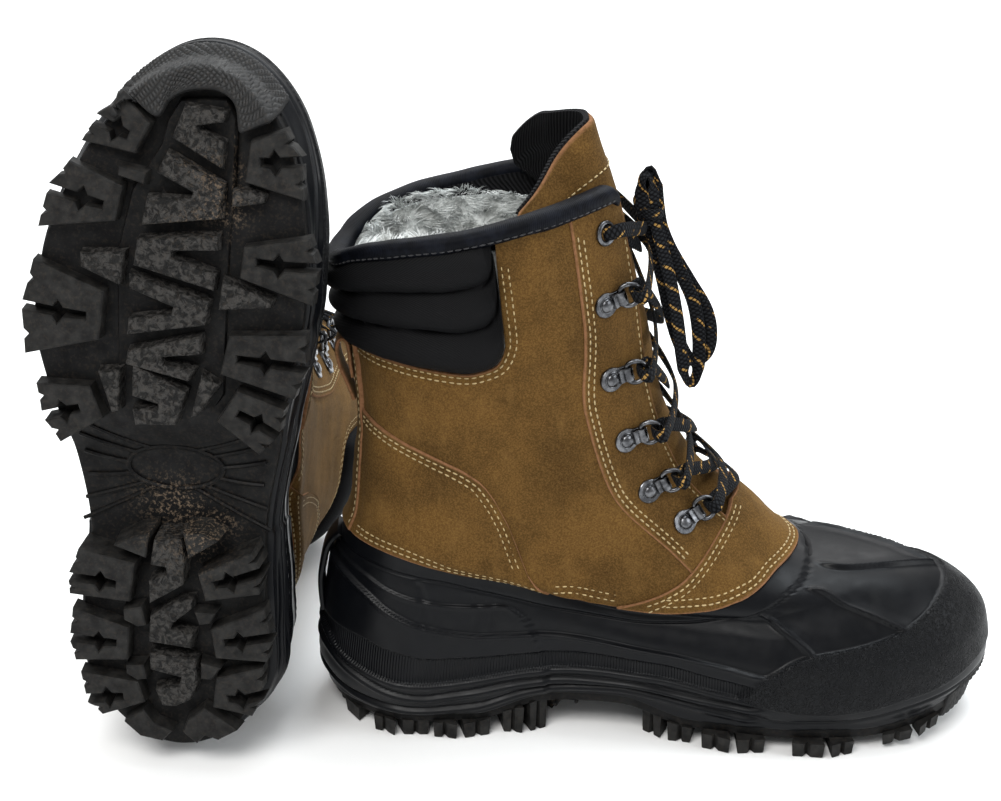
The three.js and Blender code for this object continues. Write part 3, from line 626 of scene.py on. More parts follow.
def gunmetal():
    m = Look("gunmetal", (0.1, 0.1, 0.105), 0.3, metal=1.0)
    m.color(m.mix(m.span(m.noise(4, 4), 0.35, 0.7), (0.055, 0.056, 0.06), (0.15, 0.152, 0.16)))
    m.rough(m.span(m.noise(3, 4), 0.3, 0.75, 0.2, 0.42))
    m.bump(m.noise(1.4, 3), 0.05, 0.4)
    return m.mat


def thread(name, color):
    m = Look(name, color, 0.7, Sheen_Weight=0.2)
    m.color(m.mix(m.span(m.noise(5, 3), 0.3, 0.7), tuple(c * 0.72 for c in color), color))
    m.bump(m.noise(0.5, 2, stretch=(1, 1, 3)), 0.12, 0.8)
    return m.mat


def felt():
    m = Look("felt", (0.26, 0.255, 0.24), 0.95)
    m.color(m.mix(m.span(m.noise(3, 5, 0.7), 0.3, 0.7), (0.17, 0.165, 0.155), (0.36, 0.355, 0.34)))
    m.bump(m.noise(1.0, 4), 0.5, 0.8)
    return m.mat


SUEDE, SHELL, TREAD, PAD, KNIT = suede(), shell_rubber(), tread_rubber(), padded_nylon(), knit()
FLEECE, TAPE, LACE, METAL, FELT = fleece(), binding_tape(), lace_braid(), gunmetal(), felt()
CREAM, DARK = thread("thread_cream", (0.42, 0.31, 0.14)), thread("thread_dark", (0.006, 0.006, 0.008))


# ---------------------------------------------------------------- lines on the skin, as heights over the turn
def line(*points):
    """A height over the turn that is the same on both sides of the foot."""
    along = curve(*points)
    return lambda turn: along(np.abs((np.asarray(turn) + 0.5) % 1 - 0.5))


LEATHER_FOOT = line((0, 4.16), (0.04, 4.15), (0.1, 4.24), (0.16, 4.03), (0.19, 4.05), (0.22, 4.6), (0.25, 4.95),
                    (0.37, 4.93), (0.42, 5.1), (0.5, 5.04))
GROOVE = line((0, 3.5), (0.037, 3.5), (0.084, 3.52), (0.133, 3.44), (0.172, 3.1), (0.199, 2.81), (0.229, 3.03),
              (0.269, 3.42), (0.309, 3.97), (0.343, 4.32), (0.379, 4.57), (0.414, 4.7), (0.446, 4.82),
              (0.483, 4.9))
LAYER = line((0, 3.27), (0.0375, 3.22), (0.071, 3.09), (0.096, 2.89), (0.124, 2.73), (0.142, 2.67), (0.161, 2.69),
             (0.172, 2.74), (0.181, 2.45), (0.1875, 1.9), (0.2, 0.8))
WELT = line((0, 3.05), (0.034, 2.97), (0.0775, 2.7), (0.1, 2.44), (0.131, 2.12), (0.161, 1.92), (0.188, 1.88),
            (0.23, 1.86), (0.2725, 1.85), (0.298, 1.78), (0.33, 1.7))
RIB_TOP = line((0, 1.88), (0.029, 1.86), (0.07, 1.83), (0.104, 1.67), (0.133, 1.51), (0.1625, 1.48),
               (0.192, 1.52), (0.219, 1.56), (0.25, 1.54), (0.2725, 1.47), (0.33, 1.45))
RIB_FOOT = line((0, 1.72), (0.029, 1.63), (0.059, 1.38), (0.086, 1.2), (0.114, 1.04), (0.137, 0.98),
                (0.163, 1.06), (0.1925, 1.2), (0.22, 1.26), (0.252, 1.2), (0.273, 1.12), (0.33, 1.05))
BAND = line((0, 1.46), (0.036, 1.4), (0.074, 1.1), (0.105, 0.78), (0.129, 0.64), (0.156, 0.74), (0.187, 0.9),
            (0.209, 1.0), (0.24, 0.93), (0.258, 0.86), (0.29, 0.86))
BAND_FOOT = line((0, 0.84), (0.028, 0.76), (0.067, 0.34), (0.1, 0.24), (0.13, 0.2), (0.161, 0.3), (0.186, 0.42),
                 (0.232, 0.6), (0.258, 0.6), (0.285, 0.46), (0.3, 0.4))
BUMPER = line((0.28, 0.9), (0.286, 1.2), (0.298, 1.78), (0.314, 2.33), (0.326, 2.51), (0.347, 2.6), (0.376, 2.71),
              (0.4, 2.84), (0.4525, 3.12), (0.5, 3.2))
BUMPER_FOOT = line((0.27, 1.1), (0.286, 1.0), (0.305, 0.87), (0.3275, 0.78), (0.352, 0.88), (0.366, 1.02),
                   (0.4, 1.2), (0.45, 1.35), (0.5, 1.4))
FOXING = line((0.2, 0.5), (0.258, 0.56), (0.285, 0.42), (0.3075, 0.32), (0.33, 0.31), (0.354, 0.5), (0.374, 0.7),
              (0.4, 0.85), (0.5, 0.9))
# Ridges and grooves round the side: the line, millimetres under it, the width and the height in millimetres.
SIDE_LINES = [(RIB_FOOT, 1.5, 1.3, 1.1), (BAND, 0, 0.95, -1.9), (BAND, 2.3, 1.3, 1.0), (BAND_FOOT, 0, 0.95, -1.8),
              (BAND_FOOT, 2.2, 1.3, 0.8)]
# Ridges of the toe box, as turns over the height, and where they start and end.
TOE_RIDGES = [
    (curve((2.4, 0.3245), (3.3, 0.3237), (4.3, 0.337)), 2.35, 4.25),
    (curve((2.7, 0.391), (3.2, 0.382), (3.69, 0.3775), (4.65, 0.4044)), 2.75, 4.6),
    (curve((3.15, 0.507), (3.29, 0.504), (4.11, 0.462), (4.51, 0.4456), (4.84, 0.456)), 3.15, 4.8),
]


# ---------------------------------------------------------------- rubber foot
SHELL_COLUMNS, PATTERN_ROW = 560, 40  # the pattern keeps its size on that row
SHELL_THICK = 2.7


def mm_per_turn(turn, height):
    return np.linalg.norm(skin(turn + 1e-3, height) - skin(turn - 1e-3, height), axis=-1) / 2e-3


def shell_relief(turn, height, up_mm, along_mm):
    """How far the rubber foot stands over the skin, and where its pebbled bumper and its ribbed band are."""
    side = np.abs((turn + 0.5) % 1 - 0.5)

    def above(edge):
        return (height - edge(side)) * up_mm

    def below(edge, soft=1.1):
        return smooth(-above(edge), -soft / 2, soft / 2)

    out = 0.9 * (1 - below(GROOVE, 1.4)) - 0.8 * ridge(above(GROOVE), 0.8)
    upper = below(LAYER) * (side < 0.195)
    out = out + 0.9 * upper + 0.5 * ridge(above(LAYER) + 0.8, 0.8) * (side < 0.19)
    bars = sum(ridge((side - 0.119 - 0.004 * (3.3 - height) * k) * along_mm, 1.1) for k in (1, 2.2))
    bars = bars + sum(ridge((side - c) * along_mm, 1.2) for c in (0.1575, 0.166))
    out = out - 0.55 * bars * smooth(height, 1.9, 2.3) * smooth(3.45 - height, 0, 0.3)
    rear = 1 - smooth(side, 0.29, 0.305)
    welt = below(WELT) * rear
    out = out + 1.8 * welt + 0.9 * ridge(above(WELT) + 1.0, 0.9) * rear
    rib = below(RIB_TOP) * (1 - below(RIB_FOOT)) * rear
    out = out - 1.5 * rib
    for edge, down, width, high in SIDE_LINES:
        out = out + high * ridge(above(edge) + down, width) * rear
    toe = 1 - rear
    bumper = below(BUMPER, 1.5) * (1 - below(BUMPER_FOOT, 1.2)) * smooth(side, 0.279, 0.29)
    for path, low, high in TOE_RIDGES:
        near = (side - path(height)) * along_mm
        keep = smooth(height, low - 0.1, low) * smooth(high - height, 0, 0.25)
        out = out + keep * (1.7 * ridge(near, 1.4) + 0.9 * smooth(near, -1.5, 0) * smooth(9 - near, 0, 9))
    low_part = below(BUMPER_FOOT, 1.2) * toe
    out = out * (1 - low_part) + low_part * (1.2 - 1.0 * ridge(above(FOXING), 0.9))
    out = out * (1 - bumper) + 2.1 * bumper
    out = out + 0.55 * (1 - smooth(height, 0.0, 0.25))
    return out, bumper, rib


def foot_shell():
    turns = np.arange(SHELL_COLUMNS) / SHELL_COLUMNS
    heights = np.concatenate([np.linspace(0, 3, 92), np.linspace(3.02, SHELL_TOP, 49)])
    t, h = np.meshgrid(turns, heights)
    at, _, _, normal = skin_frame(t, h)
    up_mm = np.linalg.norm(skin(t, np.minimum(h + 0.02, TOP)) - skin(t, np.maximum(h - 0.02, 0)), axis=-1) / 0.04
    up_mm[h < 0.02] *= 2
    relief, bumper, rib = shell_relief(t, h, up_mm, mm_per_turn(t, h))
    relief = relief + 0.12 * wobble(at, 34, 3) - 0.8 * smooth(h - LEATHER_FOOT(t), -0.1, 0.35)
    outer = at + normal * relief[..., None]
    inward = np.linspace(0.02, 1, 9)
    foot_rows = sole(*np.meshgrid(turns, inward[::-1]), 0.2)
    inner_h = np.array([4.6, 3.6, 2.4, 1.2, 0.4])
    inner = offset(*np.meshgrid(turns, inner_h), -SHELL_THICK)
    inside = sole(*np.meshgrid(turns, inward), -2.5)
    rows = np.concatenate([foot_rows, outer, inner, inside])
    n, cols = rows.shape[:2]
    outside = slice(len(foot_rows), len(foot_rows) + len(heights))
    values = {}
    for key, value in (("pebble", bumper), ("ribbed", rib)):
        whole = np.zeros((n, cols))
        whole[outside] = value
        values[key] = whole.ravel()
    uv = np.zeros((n, cols, 2))
    around = lengths(np.concatenate([at, at[:, :1]], 1), 1)[PATTERN_ROW, :-1]
    uv[outside] = np.stack(np.broadcast_arrays(around[None], at[..., 2]), -1)
    faces = grid_faces(n, cols, wrap=True)
    return {"points": rows.reshape(-1, 3), "faces": faces, "uv": uv.reshape(-1, 2), "values": values}


def heel_loop():
    top, foot_end, count = 3.72, 1.85, 34
    heights = np.linspace(top, foot_end, count)
    stand = curve((foot_end, 1.0), (2.1, 2.6), (2.5, 4.2), (3.0, 4.2), (3.4, 2.8), (top, 0.9))(heights)
    points = offset(np.zeros(count), heights, stand + 0.8)
    width = 15 + 3 * ridge(heights - top, 0.25) + 3 * ridge(heights - foot_end, 0.25)
    return ribbon(points, np.tile(LEFT, (count, 1)), width, 3.4, 20, power=0.55)


# ---------------------------------------------------------------- tread
PLATE = 6.3  # from the feather edge down to the face of the plate between the blocks
OUTSET = 0.7  # how far the plate stands out past the foot shell
tread = curve((0, 3), (14, 0), (244, 0), (270, 4), (300, 10), (318, 17))


def plate_face(x):
    f = np.clip((x - LEVELS[0][0]) / (LEVELS[0][1] - LEVELS[0][0]), 0, 1)
    return LEVELS[0][2](f) - PLATE


def key_slot(corners, start, end, cross, half=2.1, tip=5.0):
    """An outer block with a slot open at its outer edge, and a diamond across the slot."""
    outer_a, inner_a, inner_b, outer_b = (np.array(c, float) for c in corners)
    s, e, c = (np.array(v, float) for v in (start, end, cross))
    along = unit(e - s)
    across = np.array([along[1], -along[0]])
    if (outer_b - outer_a) @ across < 0:
        across = -across
    mouth = s - along * 2
    edge = [outer_a + (mouth - outer_a) * a + along * deep for a, deep in ((0.3, 0), (0.42, 2.4), (0.52, 0))]
    rest = [mouth + (outer_b - mouth) * a + along * deep for a, deep in ((0.48, 0), (0.58, 2.4), (0.7, 0))]
    slot = [mouth - across * half, c - along * 2.2 - across * half, c - across * tip,
            c + along * 2.2 - across * half, e - across * half * 0.8, e + across * half * 0.8,
            c + along * 2.2 + across * half, c + across * tip, c - along * 2.2 + across * half,
            mouth + across * half]
    return [outer_a, *edge, *slot, *rest, outer_b, inner_b, inner_a]


# Outlines of the blocks, y to the inner side of the foot.
CENTRE_BLOCKS = [
    [(297, 11), (295, 28), (291, 27), (289, 16), (287, 17), (283, 27), (273, 26), (284, 6)],
    [(278, 4), (266, 27), (253, 26), (249, -6), (260, -4), (260, 14), (263, 15), (270, 0)],
    [(243, -8), (246, 25), (240, 25), (239, 6), (236, 6), (230, 24), (223, 23), (232, -10)],
    [(228, -12), (218, 21), (208, 19), (202, -14), (209, -13), (212, 5), (215, 6), (222, -12)],
    [(195, -14), (203, 17), (195, 17), (193, 0), (190, 1), (188, 14), (183, 11), (189, -15)],
    [(189, -12), (178, 10), (163, 5), (162, -12), (169, -13), (170, -2), (172, -2), (175, -13)],
    [(185, -27), (186, -18), (168, -19), (167, -22)],
    [(186, 17), (182, 24), (168, 15), (167, 12)],
    [(109, -6), (110, 6), (101, 7), (88, 6), (78, -9), (89, -9), (93, -1), (96, -1), (97, -8)],
    [(72, -9), (80, 4), (81, 10), (77, 10), (68, 0), (66, 0), (64, 10), (57, 9), (59, -10)],
    [(53, -10), (52, 11), (39, 11), (31, 8), (27, 1), (27, -5), (35, -8), (38, 3), (42, 4), (45, -10)],
    [(236, -32), (237, -14), (223, -16), (230, -32)],
    [(228, 27), (220, 47), (217, 46), (215, 25)],
    [(264, 31), (265, 37), (263, 44), (260, 43), (258, 31)],
]
PLAIN_BLOCKS = [
    [(105, -24), (110, -15), (112, -8), (100, -10)],
    [(113, 7), (113, 16), (110, 22), (101, 9)],
    [(74, -21), (76, -13), (67, -11), (66, -15), (69, -21)],
    [(46, -21), (47, -13), (40, -12), (39, -16), (42, -21)],
    [(75, 11), (75, 20), (70, 18), (69, 13)],
    [(50, 13), (48, 22), (42, 18), (42, 13)],
    [(272, -16), (270, -4), (265, -5), (268, -16)],
    [(17, -23), (24, -14), (17, -9), (14, -1), (8, -6), (10, -16)],
    [(14, 4), (20, 6), (27, 14), (17, 29), (11, 20), (13, 14), (8, 10)],
]
# Side blocks: corners (outer, inner, inner, outer, from the back forwards), slot start, slot end, diamond.
SIDE_BLOCKS = [
    ([(281, -31), (277, -9), (289, -3), (300, -14)], (289, -24), (284, -12), (286, -17)),
    ([(246, -49), (250, -17), (264, -14), (273, -36)], (261, -43), (256, -22), (258, -31)),
    ([(191, -58), (199, -26), (220, -23), (232, -52)], (212, -56), (209, -31), (210, -43)),
    ([(152, -45), (164, -26), (178, -31), (178, -54)], (164, -50), (168, -36), (166, -43)),
    ([(262, 60), (268, 36), (284, 38), (289, 52)], (277, 57), (276, 42), (276, 48)),
    ([(219, 64), (229, 34), (242, 36), (247, 63)], (235, 64), (236, 41), (235, 50)),
    ([(178, 56), (187, 25), (204, 29), (206, 61)], (192, 59), (194, 32), (193, 44)),
    ([(152, 41), (166, 23), (180, 32), (173, 52)], (162, 47), (170, 32), (166, 40)),
    ([(80, -45), (78, -18), (97, -15), (102, -40)], (88, -43), (86, -24), (87, -31)),
    ([(47, -44), (49, -20), (65, -19), (73, -44)], (58, -44), (57, -25), (57, -33)),
    ([(20, -33), (28, -13), (38, -16), (41, -42)], (28, -38), (30, -23), (29, -30)),
    ([(86, 40), (81, 16), (94, 13), (106, 37)], (96, 39), (89, 20), (91, 27)),
    ([(53, 43), (53, 20), (67, 18), (79, 42)], (65, 43), (61, 24), (62, 31)),
    ([(25, 36), (28, 18), (43, 20), (50, 41)], (36, 39), (33, 25), (33, 31)),
]
RIM_INSIDE = [(301, -13), (292, -1), (298, 4), (301, 8), (303, 14), (303, 24), (298, 31), (288, 33)]
ISLAND = [(281, 1), (290, 3), (298, 8), (299, 27), (292, 31), (268, 31), (226, 28), (176, 25), (160, 15),
          (159, -15), (186, -20), (236, -18), (262, -11)]


def knurl(x, y, pitch=2.6):
    """Raised diamonds, from 0 to 1."""
    a, b = (x * 0.8 + y) / pitch, (x * 0.8 - y) / pitch
    return np.minimum(np.abs(np.sin(np.pi * a)), np.abs(np.sin(np.pi * b)))


def toe_rim():
    """The knurled pad round the toe: from the channel round the front block out over the sole's edge."""
    start, end, count = 0.419, 0.585, 200
    inner_edge = smooth_path([(288, 36), *RIM_INSIDE[::-1]], count)
    turns = np.linspace(start, end, 170)
    edge = sole(turns, 0.0, 0.0, OUTSET)
    share = curve((start, 0.03), (0.45, 0.2), (0.49, 0.5), (0.52, 0.72), (end, 1.0))(turns)
    inside = inner_edge[np.clip((share * (count - 1)).astype(int), 0, count - 1)]
    low = np.column_stack([inside[:, 0], -inside[:, 1]])
    top = []
    for r in np.linspace(0, 1, 40):
        xy = low * (1 - r) + edge[:, :2] * r
        top.append(np.column_stack([xy, np.minimum(tread(xy[:, 0]) - 0.3, plate_face(xy[:, 0]) - 1.5)]))
    turn, height = np.meshgrid(turns, np.linspace(0.05, 0.86, 26))
    top = np.concatenate([np.array(top), offset(turn, height, 1.9 * smooth(0.9 - height, 0, 0.3))])
    first, last = 34, 50  # the rows that turn over the edge of the sole
    for _ in range(12):
        top[first:last] = (top[first - 1:last - 1] + 2 * top[first:last] + top[first + 1:last + 1]) / 4
    normal = unit(np.cross(np.gradient(top, axis=1), np.gradient(top, axis=0)))
    normal = normal * np.sign((normal * (0.4, 0, -1)).sum(-1, keepdims=True).mean())
    for _ in range(6):
        normal[1:-1] = unit(normal[:-2] + 2 * normal[1:-1] + normal[2:])
    down, across = lengths(top, 0), lengths(top, 1)
    near = edge_distance(down, across)
    middle = across - across[:, -1:] / 2
    pattern = knurl(down, middle) * smooth(near, 0.5, 2.5)
    outer = top + normal * (0.75 * pattern - 0.8 - rounded(near, 0.8))[..., None] + normal * 0.8
    return slab(outer, top - normal * 3.0, knurl=0.25 + 0.75 * pattern)


def outsole():
    count = 360
    turns = np.arange(count) / count
    edge_rows = np.array([0.0, 0.004, 0.012, 0.03, 0.07, 0.15, 0.25, 0.4, 0.55, 0.7, 0.85, 0.95, 1.0])
    t, inward = np.meshgrid(turns, edge_rows)
    drop = PLATE - rounded(np.array([0.0, 0.25, 0.6, 1.2, 3] + [9] * 8), 1.2)[:, None]
    bottom = sole(t, inward, drop, OUTSET)
    top = sole(*np.meshgrid(turns, [1.0, 0.5, 0.02, 0.0]), 1.0, OUTSET)
    rows = np.concatenate([top, bottom])
    plate = {"points": rows.reshape(-1, 3), "faces": grid_faces(len(rows), count, wrap=True)[:, ::-1]}

    def root(x):
        return plate_face(x) + 1

    stone = [block(b, tread, root) for b in CENTRE_BLOCKS]
    plain = [block(b, tread, root) for b in PLAIN_BLOCKS]
    plain += [block(key_slot(*b), tread, root, draft=0.5) for b in SIDE_BLOCKS]
    plain.append(block(ISLAND, lambda x: plate_face(x) - 1.6, root, draft=0.4))
    for shapes, key in ((stone, "stone"), (plain, "worn")):
        for s in shapes:
            s["values"] = {key: np.ones(len(s["points"]))}
    for s in stone:
        s["values"]["worn"] = np.ones(len(s["points"])) * 0.5
    plain[-1]["values"]["worn"] *= 0
    whole = joined([plate, *stone, *plain, toe_rim(), *arch_lines()])
    p = whole["points"]
    spots = [(255, 28, 7, 6), (268, 27, 6, 5), (121, -2, 9, 12), (116, 4, 6, 8), (112, 20, 5, 6), (100, 12, 5, 5)]
    dirt = sum(ridge(np.hypot((p[:, 0] - x) / a, (-p[:, 1] - y) / b), 1.0) for x, y, a, b in spots)
    whole["values"]["dirt"] = np.clip(dirt + 0.06, 0, 1)
    whole["uv"] = p[:, :2]
    return whole


def arch_lines():
    """Thin raised lines of the arch: an oval and the curved lines that fan out from it."""
    made = []

    def strand(xy, size):
        xy = np.array(xy, float)
        z = plate_face(xy[:, 0]) - 0.6
        points = np.column_stack([xy[:, 0], -xy[:, 1], z])
        made.append(ribbon(points, np.tile(LEFT, (len(xy), 1)), size, size, 6))

    middle, half_long, half_wide = 137, 10, 21
    fan = [(146, 150, 160), (143, 146, 151), (138, 139, 142), (133, 131, 131), (129, 124, 120), (127.5, 118, 110)]
    a = np.linspace(0, 2 * np.pi, 61)
    strand(np.column_stack([middle + half_long * np.cos(a), half_wide * np.sin(a)]), 2.2)
    for sign in (-1, 1):
        for start, bend, end in fan:
            s = np.linspace(0, 1, 16)
            x = start * (1 - s) ** 2 + 2 * bend * s * (1 - s) + end * s * s
            reach = math.sqrt(max(0.0, 1 - ((start - middle) / (half_long + 0.5)) ** 2)) * half_wide
            edge = 39 + 4 * abs(end - 132) / 30
            strand(np.column_stack([x, sign * (reach + (edge - reach) * s)]), 1.9)
    return made


# ---------------------------------------------------------------- leather
STITCH_GROOVES = (2.5, 5.1)  # millimetres from a panel's edge
BACKSTAY = 0.037  # half the width of the backstay, in turns
HEEL_FRONT = 0.2165
PAD_END = 0.2588
SHELL_TOP = 5.18
STAY_FOOT = 5.62
TONGUE_FOOT = 6.12
STRAP_FOOT, BACK_TOP = 8.0, 8.45
heel_top = curve((0.037, 7.3), (0.127, 7.12), (0.169, 7.0), (0.195, 6.8), (0.205, 6.4), (0.213, 5.2),
                 (0.217, 4.72))
pad_foot = curve((0, 8.5), (0.2, 8.5), (0.235, 8.62), (0.252, 8.9), (0.259, 9.7))
vamp_edge = curve((4.9, 0.268), (5, 0.274), (5.5, 0.332), (6, 0.4), (6.25, 0.45))
eyestay_back = curve((5.6, 0.348), (6, 0.338), (7, 0.322), (8, 0.32), (9, 0.338), (10, 0.35))
throat = curve((5, 0.42), (8, 0.42), (9.2, 0.432), (9.7, 0.44), (10, 0.444))
VAMP_TOP = 6.25
LEATHER_TOP = 9.93
QUARTER, HEEL, STAY, VAMP, BACK = 1.5, 2.5, 2.25, 3.0, 3.3  # outer faces over the skin


def both_sides(t, h, side):
    return (t, h) if side == "medial" else ((1 - t)[:, ::-1], h[:, ::-1])


def swell(p):
    """How the leather stands in and out."""
    return 0.3 * wobble(p, 46, 11) + 0.1 * wobble(p, 9, 12)


def leather(t, h, outer, inner):
    """A suede panel over grids of turn and height, with cut edges."""
    at, _, _, normal = skin_frame(t, h)
    across, up = lengths(at, 1), lengths(at, 0)
    near = edge_distance(up, across)
    out = outer + swell(at)
    out = out - 0.4 * sum(ridge(near - row, 0.9) for row in STITCH_GROOVES) - rounded(near, 0.8)
    uv = np.stack([across, up], -1)
    edge = 1 - smooth(near, 0.3, 1.15)
    return slab(at + normal * out[..., None], at + normal * inner, uv=uv, edge=edge)


def quarter(side):
    s, v = spread(190), spread(150)
    v, s = np.meshgrid(v, s, indexing="ij")
    front_height = 5 + 5 * v
    front = np.minimum(eyestay_back(front_height), vamp_edge(front_height)) + 0.006
    t = (BACKSTAY - 0.006) + s * (front - BACKSTAY + 0.006)
    high = np.where(t < 0.262, pad_foot(t) - 0.02, LEATHER_TOP)
    soft = smooth(t, 0.165, 0.19)
    low = (heel_top(np.minimum(t, 0.2)) - 0.2) * (1 - soft) + LEATHER_FOOT(t) * soft
    h = low + v * (high - low)
    return leather(*both_sides(t, h, side), QUARTER, 0.3)


def heel_panel(side):
    s, v = np.meshgrid(spread(98), spread(62))
    t = (BACKSTAY - 0.004) + s * (HEEL_FRONT - BACKSTAY + 0.004)
    high = heel_top(t)
    t = t + 0 * v
    h = LEATHER_FOOT(t) + v * (high - LEATHER_FOOT(t))
    return leather(*both_sides(t, h, side), HEEL, 0.35)


def vamp():
    s, v = np.meshgrid(spread(190) * 2 - 1, spread(70))
    middle = LEATHER_FOOT(0.5) + v * (VAMP_TOP - LEATHER_FOOT(0.5))
    half = 0.5 - vamp_edge(middle)
    t = 0.5 + s * half
    foot_line = LEATHER_FOOT(t)
    h = foot_line + v * (VAMP_TOP - foot_line)
    t = 0.5 + s * (0.5 - vamp_edge(h))
    return leather(t, h, VAMP, 0.35)


def eyestay(side):
    s, v = np.meshgrid(spread(34, 2.0), spread(190, 2.2))
    h = STAY_FOOT + v * (LEATHER_TOP - STAY_FOOT)
    back = eyestay_back(h)
    front = np.minimum(throat(h), vamp_edge(h) + 0.004)
    t = back + s * (front - back)
    return leather(*both_sides(t, h, side), STAY, 0.4)


def backstay():
    s, v = np.meshgrid(spread(24, 2.0) * 2 - 1, spread(95, 2.2))
    h = LEATHER_FOOT(0.0) + v * (BACK_TOP - LEATHER_FOOT(0.0))
    t = s * BACKSTAY
    band = leather(t, h, BACK, 0.4)
    root = skin(0.0, STRAP_FOOT)
    outline = [(3.0, -16), (4.2, -12), (6.4, -6), (8.9, 1), (9.9, 8), (9.0, 12.5), (7, 13.5), (5.0, 11), (4.3, 6),
               (4.0, 1), (3.2, -5)]
    path = smooth_path([(root[0] - b, 0, root[2] + u) for b, u in outline], 60)
    strap = ribbon(path, np.tile(LEFT, (len(path), 1)), 15.5, 2.2, 14, power=0.5)
    strap["values"]["edge"] = (np.abs(strap["values"]["across"]) > 0.8).astype(float)
    return joined([band, strap])


def smooth_path(points, count, closed=False):
    """Evenly spaced points on a Catmull-Rom curve."""
    p = np.asarray(points, float)
    ends = [p[:1] * 2 - p[1:2], p, p[-1:] * 2 - p[-2:-1]]
    q = np.concatenate([p[-1:], p, p[:2]]) if closed else np.concatenate(ends)
    s = np.linspace(0, 1, 25)[:-1, None]
    parts = []
    for a, b, c, d in zip(q[:-3], q[1:-2], q[2:-1], q[3:]):
        square, cube = 2 * a - 5 * b + 4 * c - d, 3 * b - a - 3 * c + d
        parts.append(0.5 * (2 * b + (c - a) * s + square * s ** 2 + cube * s ** 3))
    fine = np.concatenate([*parts, q[-2:-1]])
    far = distances(fine)
    at = np.linspace(0, far[-1], count)
    return np.stack([np.interp(at, far, fine[:, k]) for k in range(fine.shape[1])], -1)


# ---------------------------------------------------------------- stitching
def beside(t, h, ahead, shift, steps=8):
    """Turns and heights that many millimetres to the left of a line, measured over the skin in small steps."""
    for _ in range(steps):
        _, along, up, normal = skin_frame(t, h)
        left = unit(np.cross(normal, ahead))
        slant = (along * up).sum(-1)
        a, b = (left * along).sum(-1), (left * up).sum(-1)
        along_mm = mm_per_turn(t, h)
        up_mm = np.linalg.norm(skin(t, h + 1e-2) - skin(t, h - 1e-2), axis=-1) / 2e-2
        t = t + (a - b * slant) / (1 - slant ** 2) * shift / steps / along_mm
        h = h + (b - a * slant) / (1 - slant ** 2) * shift / steps / up_mm
    return t, h


PITCH = 3.3  # from stitch to stitch


def row_along(p, normal, start, end, pitch=PITCH):
    """Places, normals and directions of stitches along a line of points, clear of its two ends."""
    far = distances(p)
    centre = np.arange(start, far[-1] - end, pitch)
    where = np.stack([np.interp(centre, far, q) for q in (*p.T, *normal.T)], -1)
    ahead = np.stack([np.interp(centre + 0.5, far, q) for q in p.T], -1)
    return np.concatenate([where, unit(ahead - where[:, :3])], 1)


def stitch_rows(t, h, over, shifts):
    """Stitches beside a line on the skin: shifts are millimetres to its left, as seen from outside."""
    t, h = np.asarray(t, float), np.asarray(h, float)
    ahead = unit(np.gradient(skin(t, h), axis=0))
    found = []
    for shift in shifts:
        at, _, _, normal = skin_frame(*beside(t, h, ahead, shift))
        thread_line = at + normal * (over - 0.2 + swell(at))[:, None]
        found.append(row_along(thread_line, normal, PITCH * 0.7, PITCH * 0.5))
    return np.concatenate(found)


def stitches(rows, length=2.4, radius=0.4):
    """Small rounded threads at rows of (place, normal, direction)."""
    p, n, d = rows[:, :3], unit(rows[:, 3:6]), unit(rows[:, 6:])
    side = unit(np.cross(n, d))
    k = 6
    a = 2 * np.pi * np.arange(k) / k
    rings = [(-0.5, 0.0, -0.35), (-0.34, 0.85, 0.0), (0.0, 1.0, 0.12), (0.34, 0.85, 0.0), (0.5, 0.0, -0.35)]
    points, faces = [], []
    for share, size, lift in rings:
        centre = p + d * (share * length) + n * (lift * radius)
        if size == 0:
            points.append(centre[:, None])
        else:
            ring = (side[:, None] * np.cos(a)[:, None] + n[:, None] * np.sin(a)[:, None] * 0.85) * (radius * size)
            points.append(centre[:, None] + ring)
    whole = np.concatenate(points, 1)
    each = whole.shape[1]
    small = [[0, 1 + (j + 1) % k, 1 + j] for j in range(k)]
    for r in range(2):
        small += [[1 + r * k + j, 1 + r * k + (j + 1) % k, 1 + (r + 1) * k + (j + 1) % k, 1 + (r + 1) * k + j]
                  for j in range(k)]
    small += [[1 + 2 * k + j, 1 + 2 * k + (j + 1) % k, each - 1] for j in range(k)]
    for i in range(len(p)):
        faces += [[v + i * each for v in f] for f in small]
    return {"points": whole.reshape(-1, 3), "faces": faces}


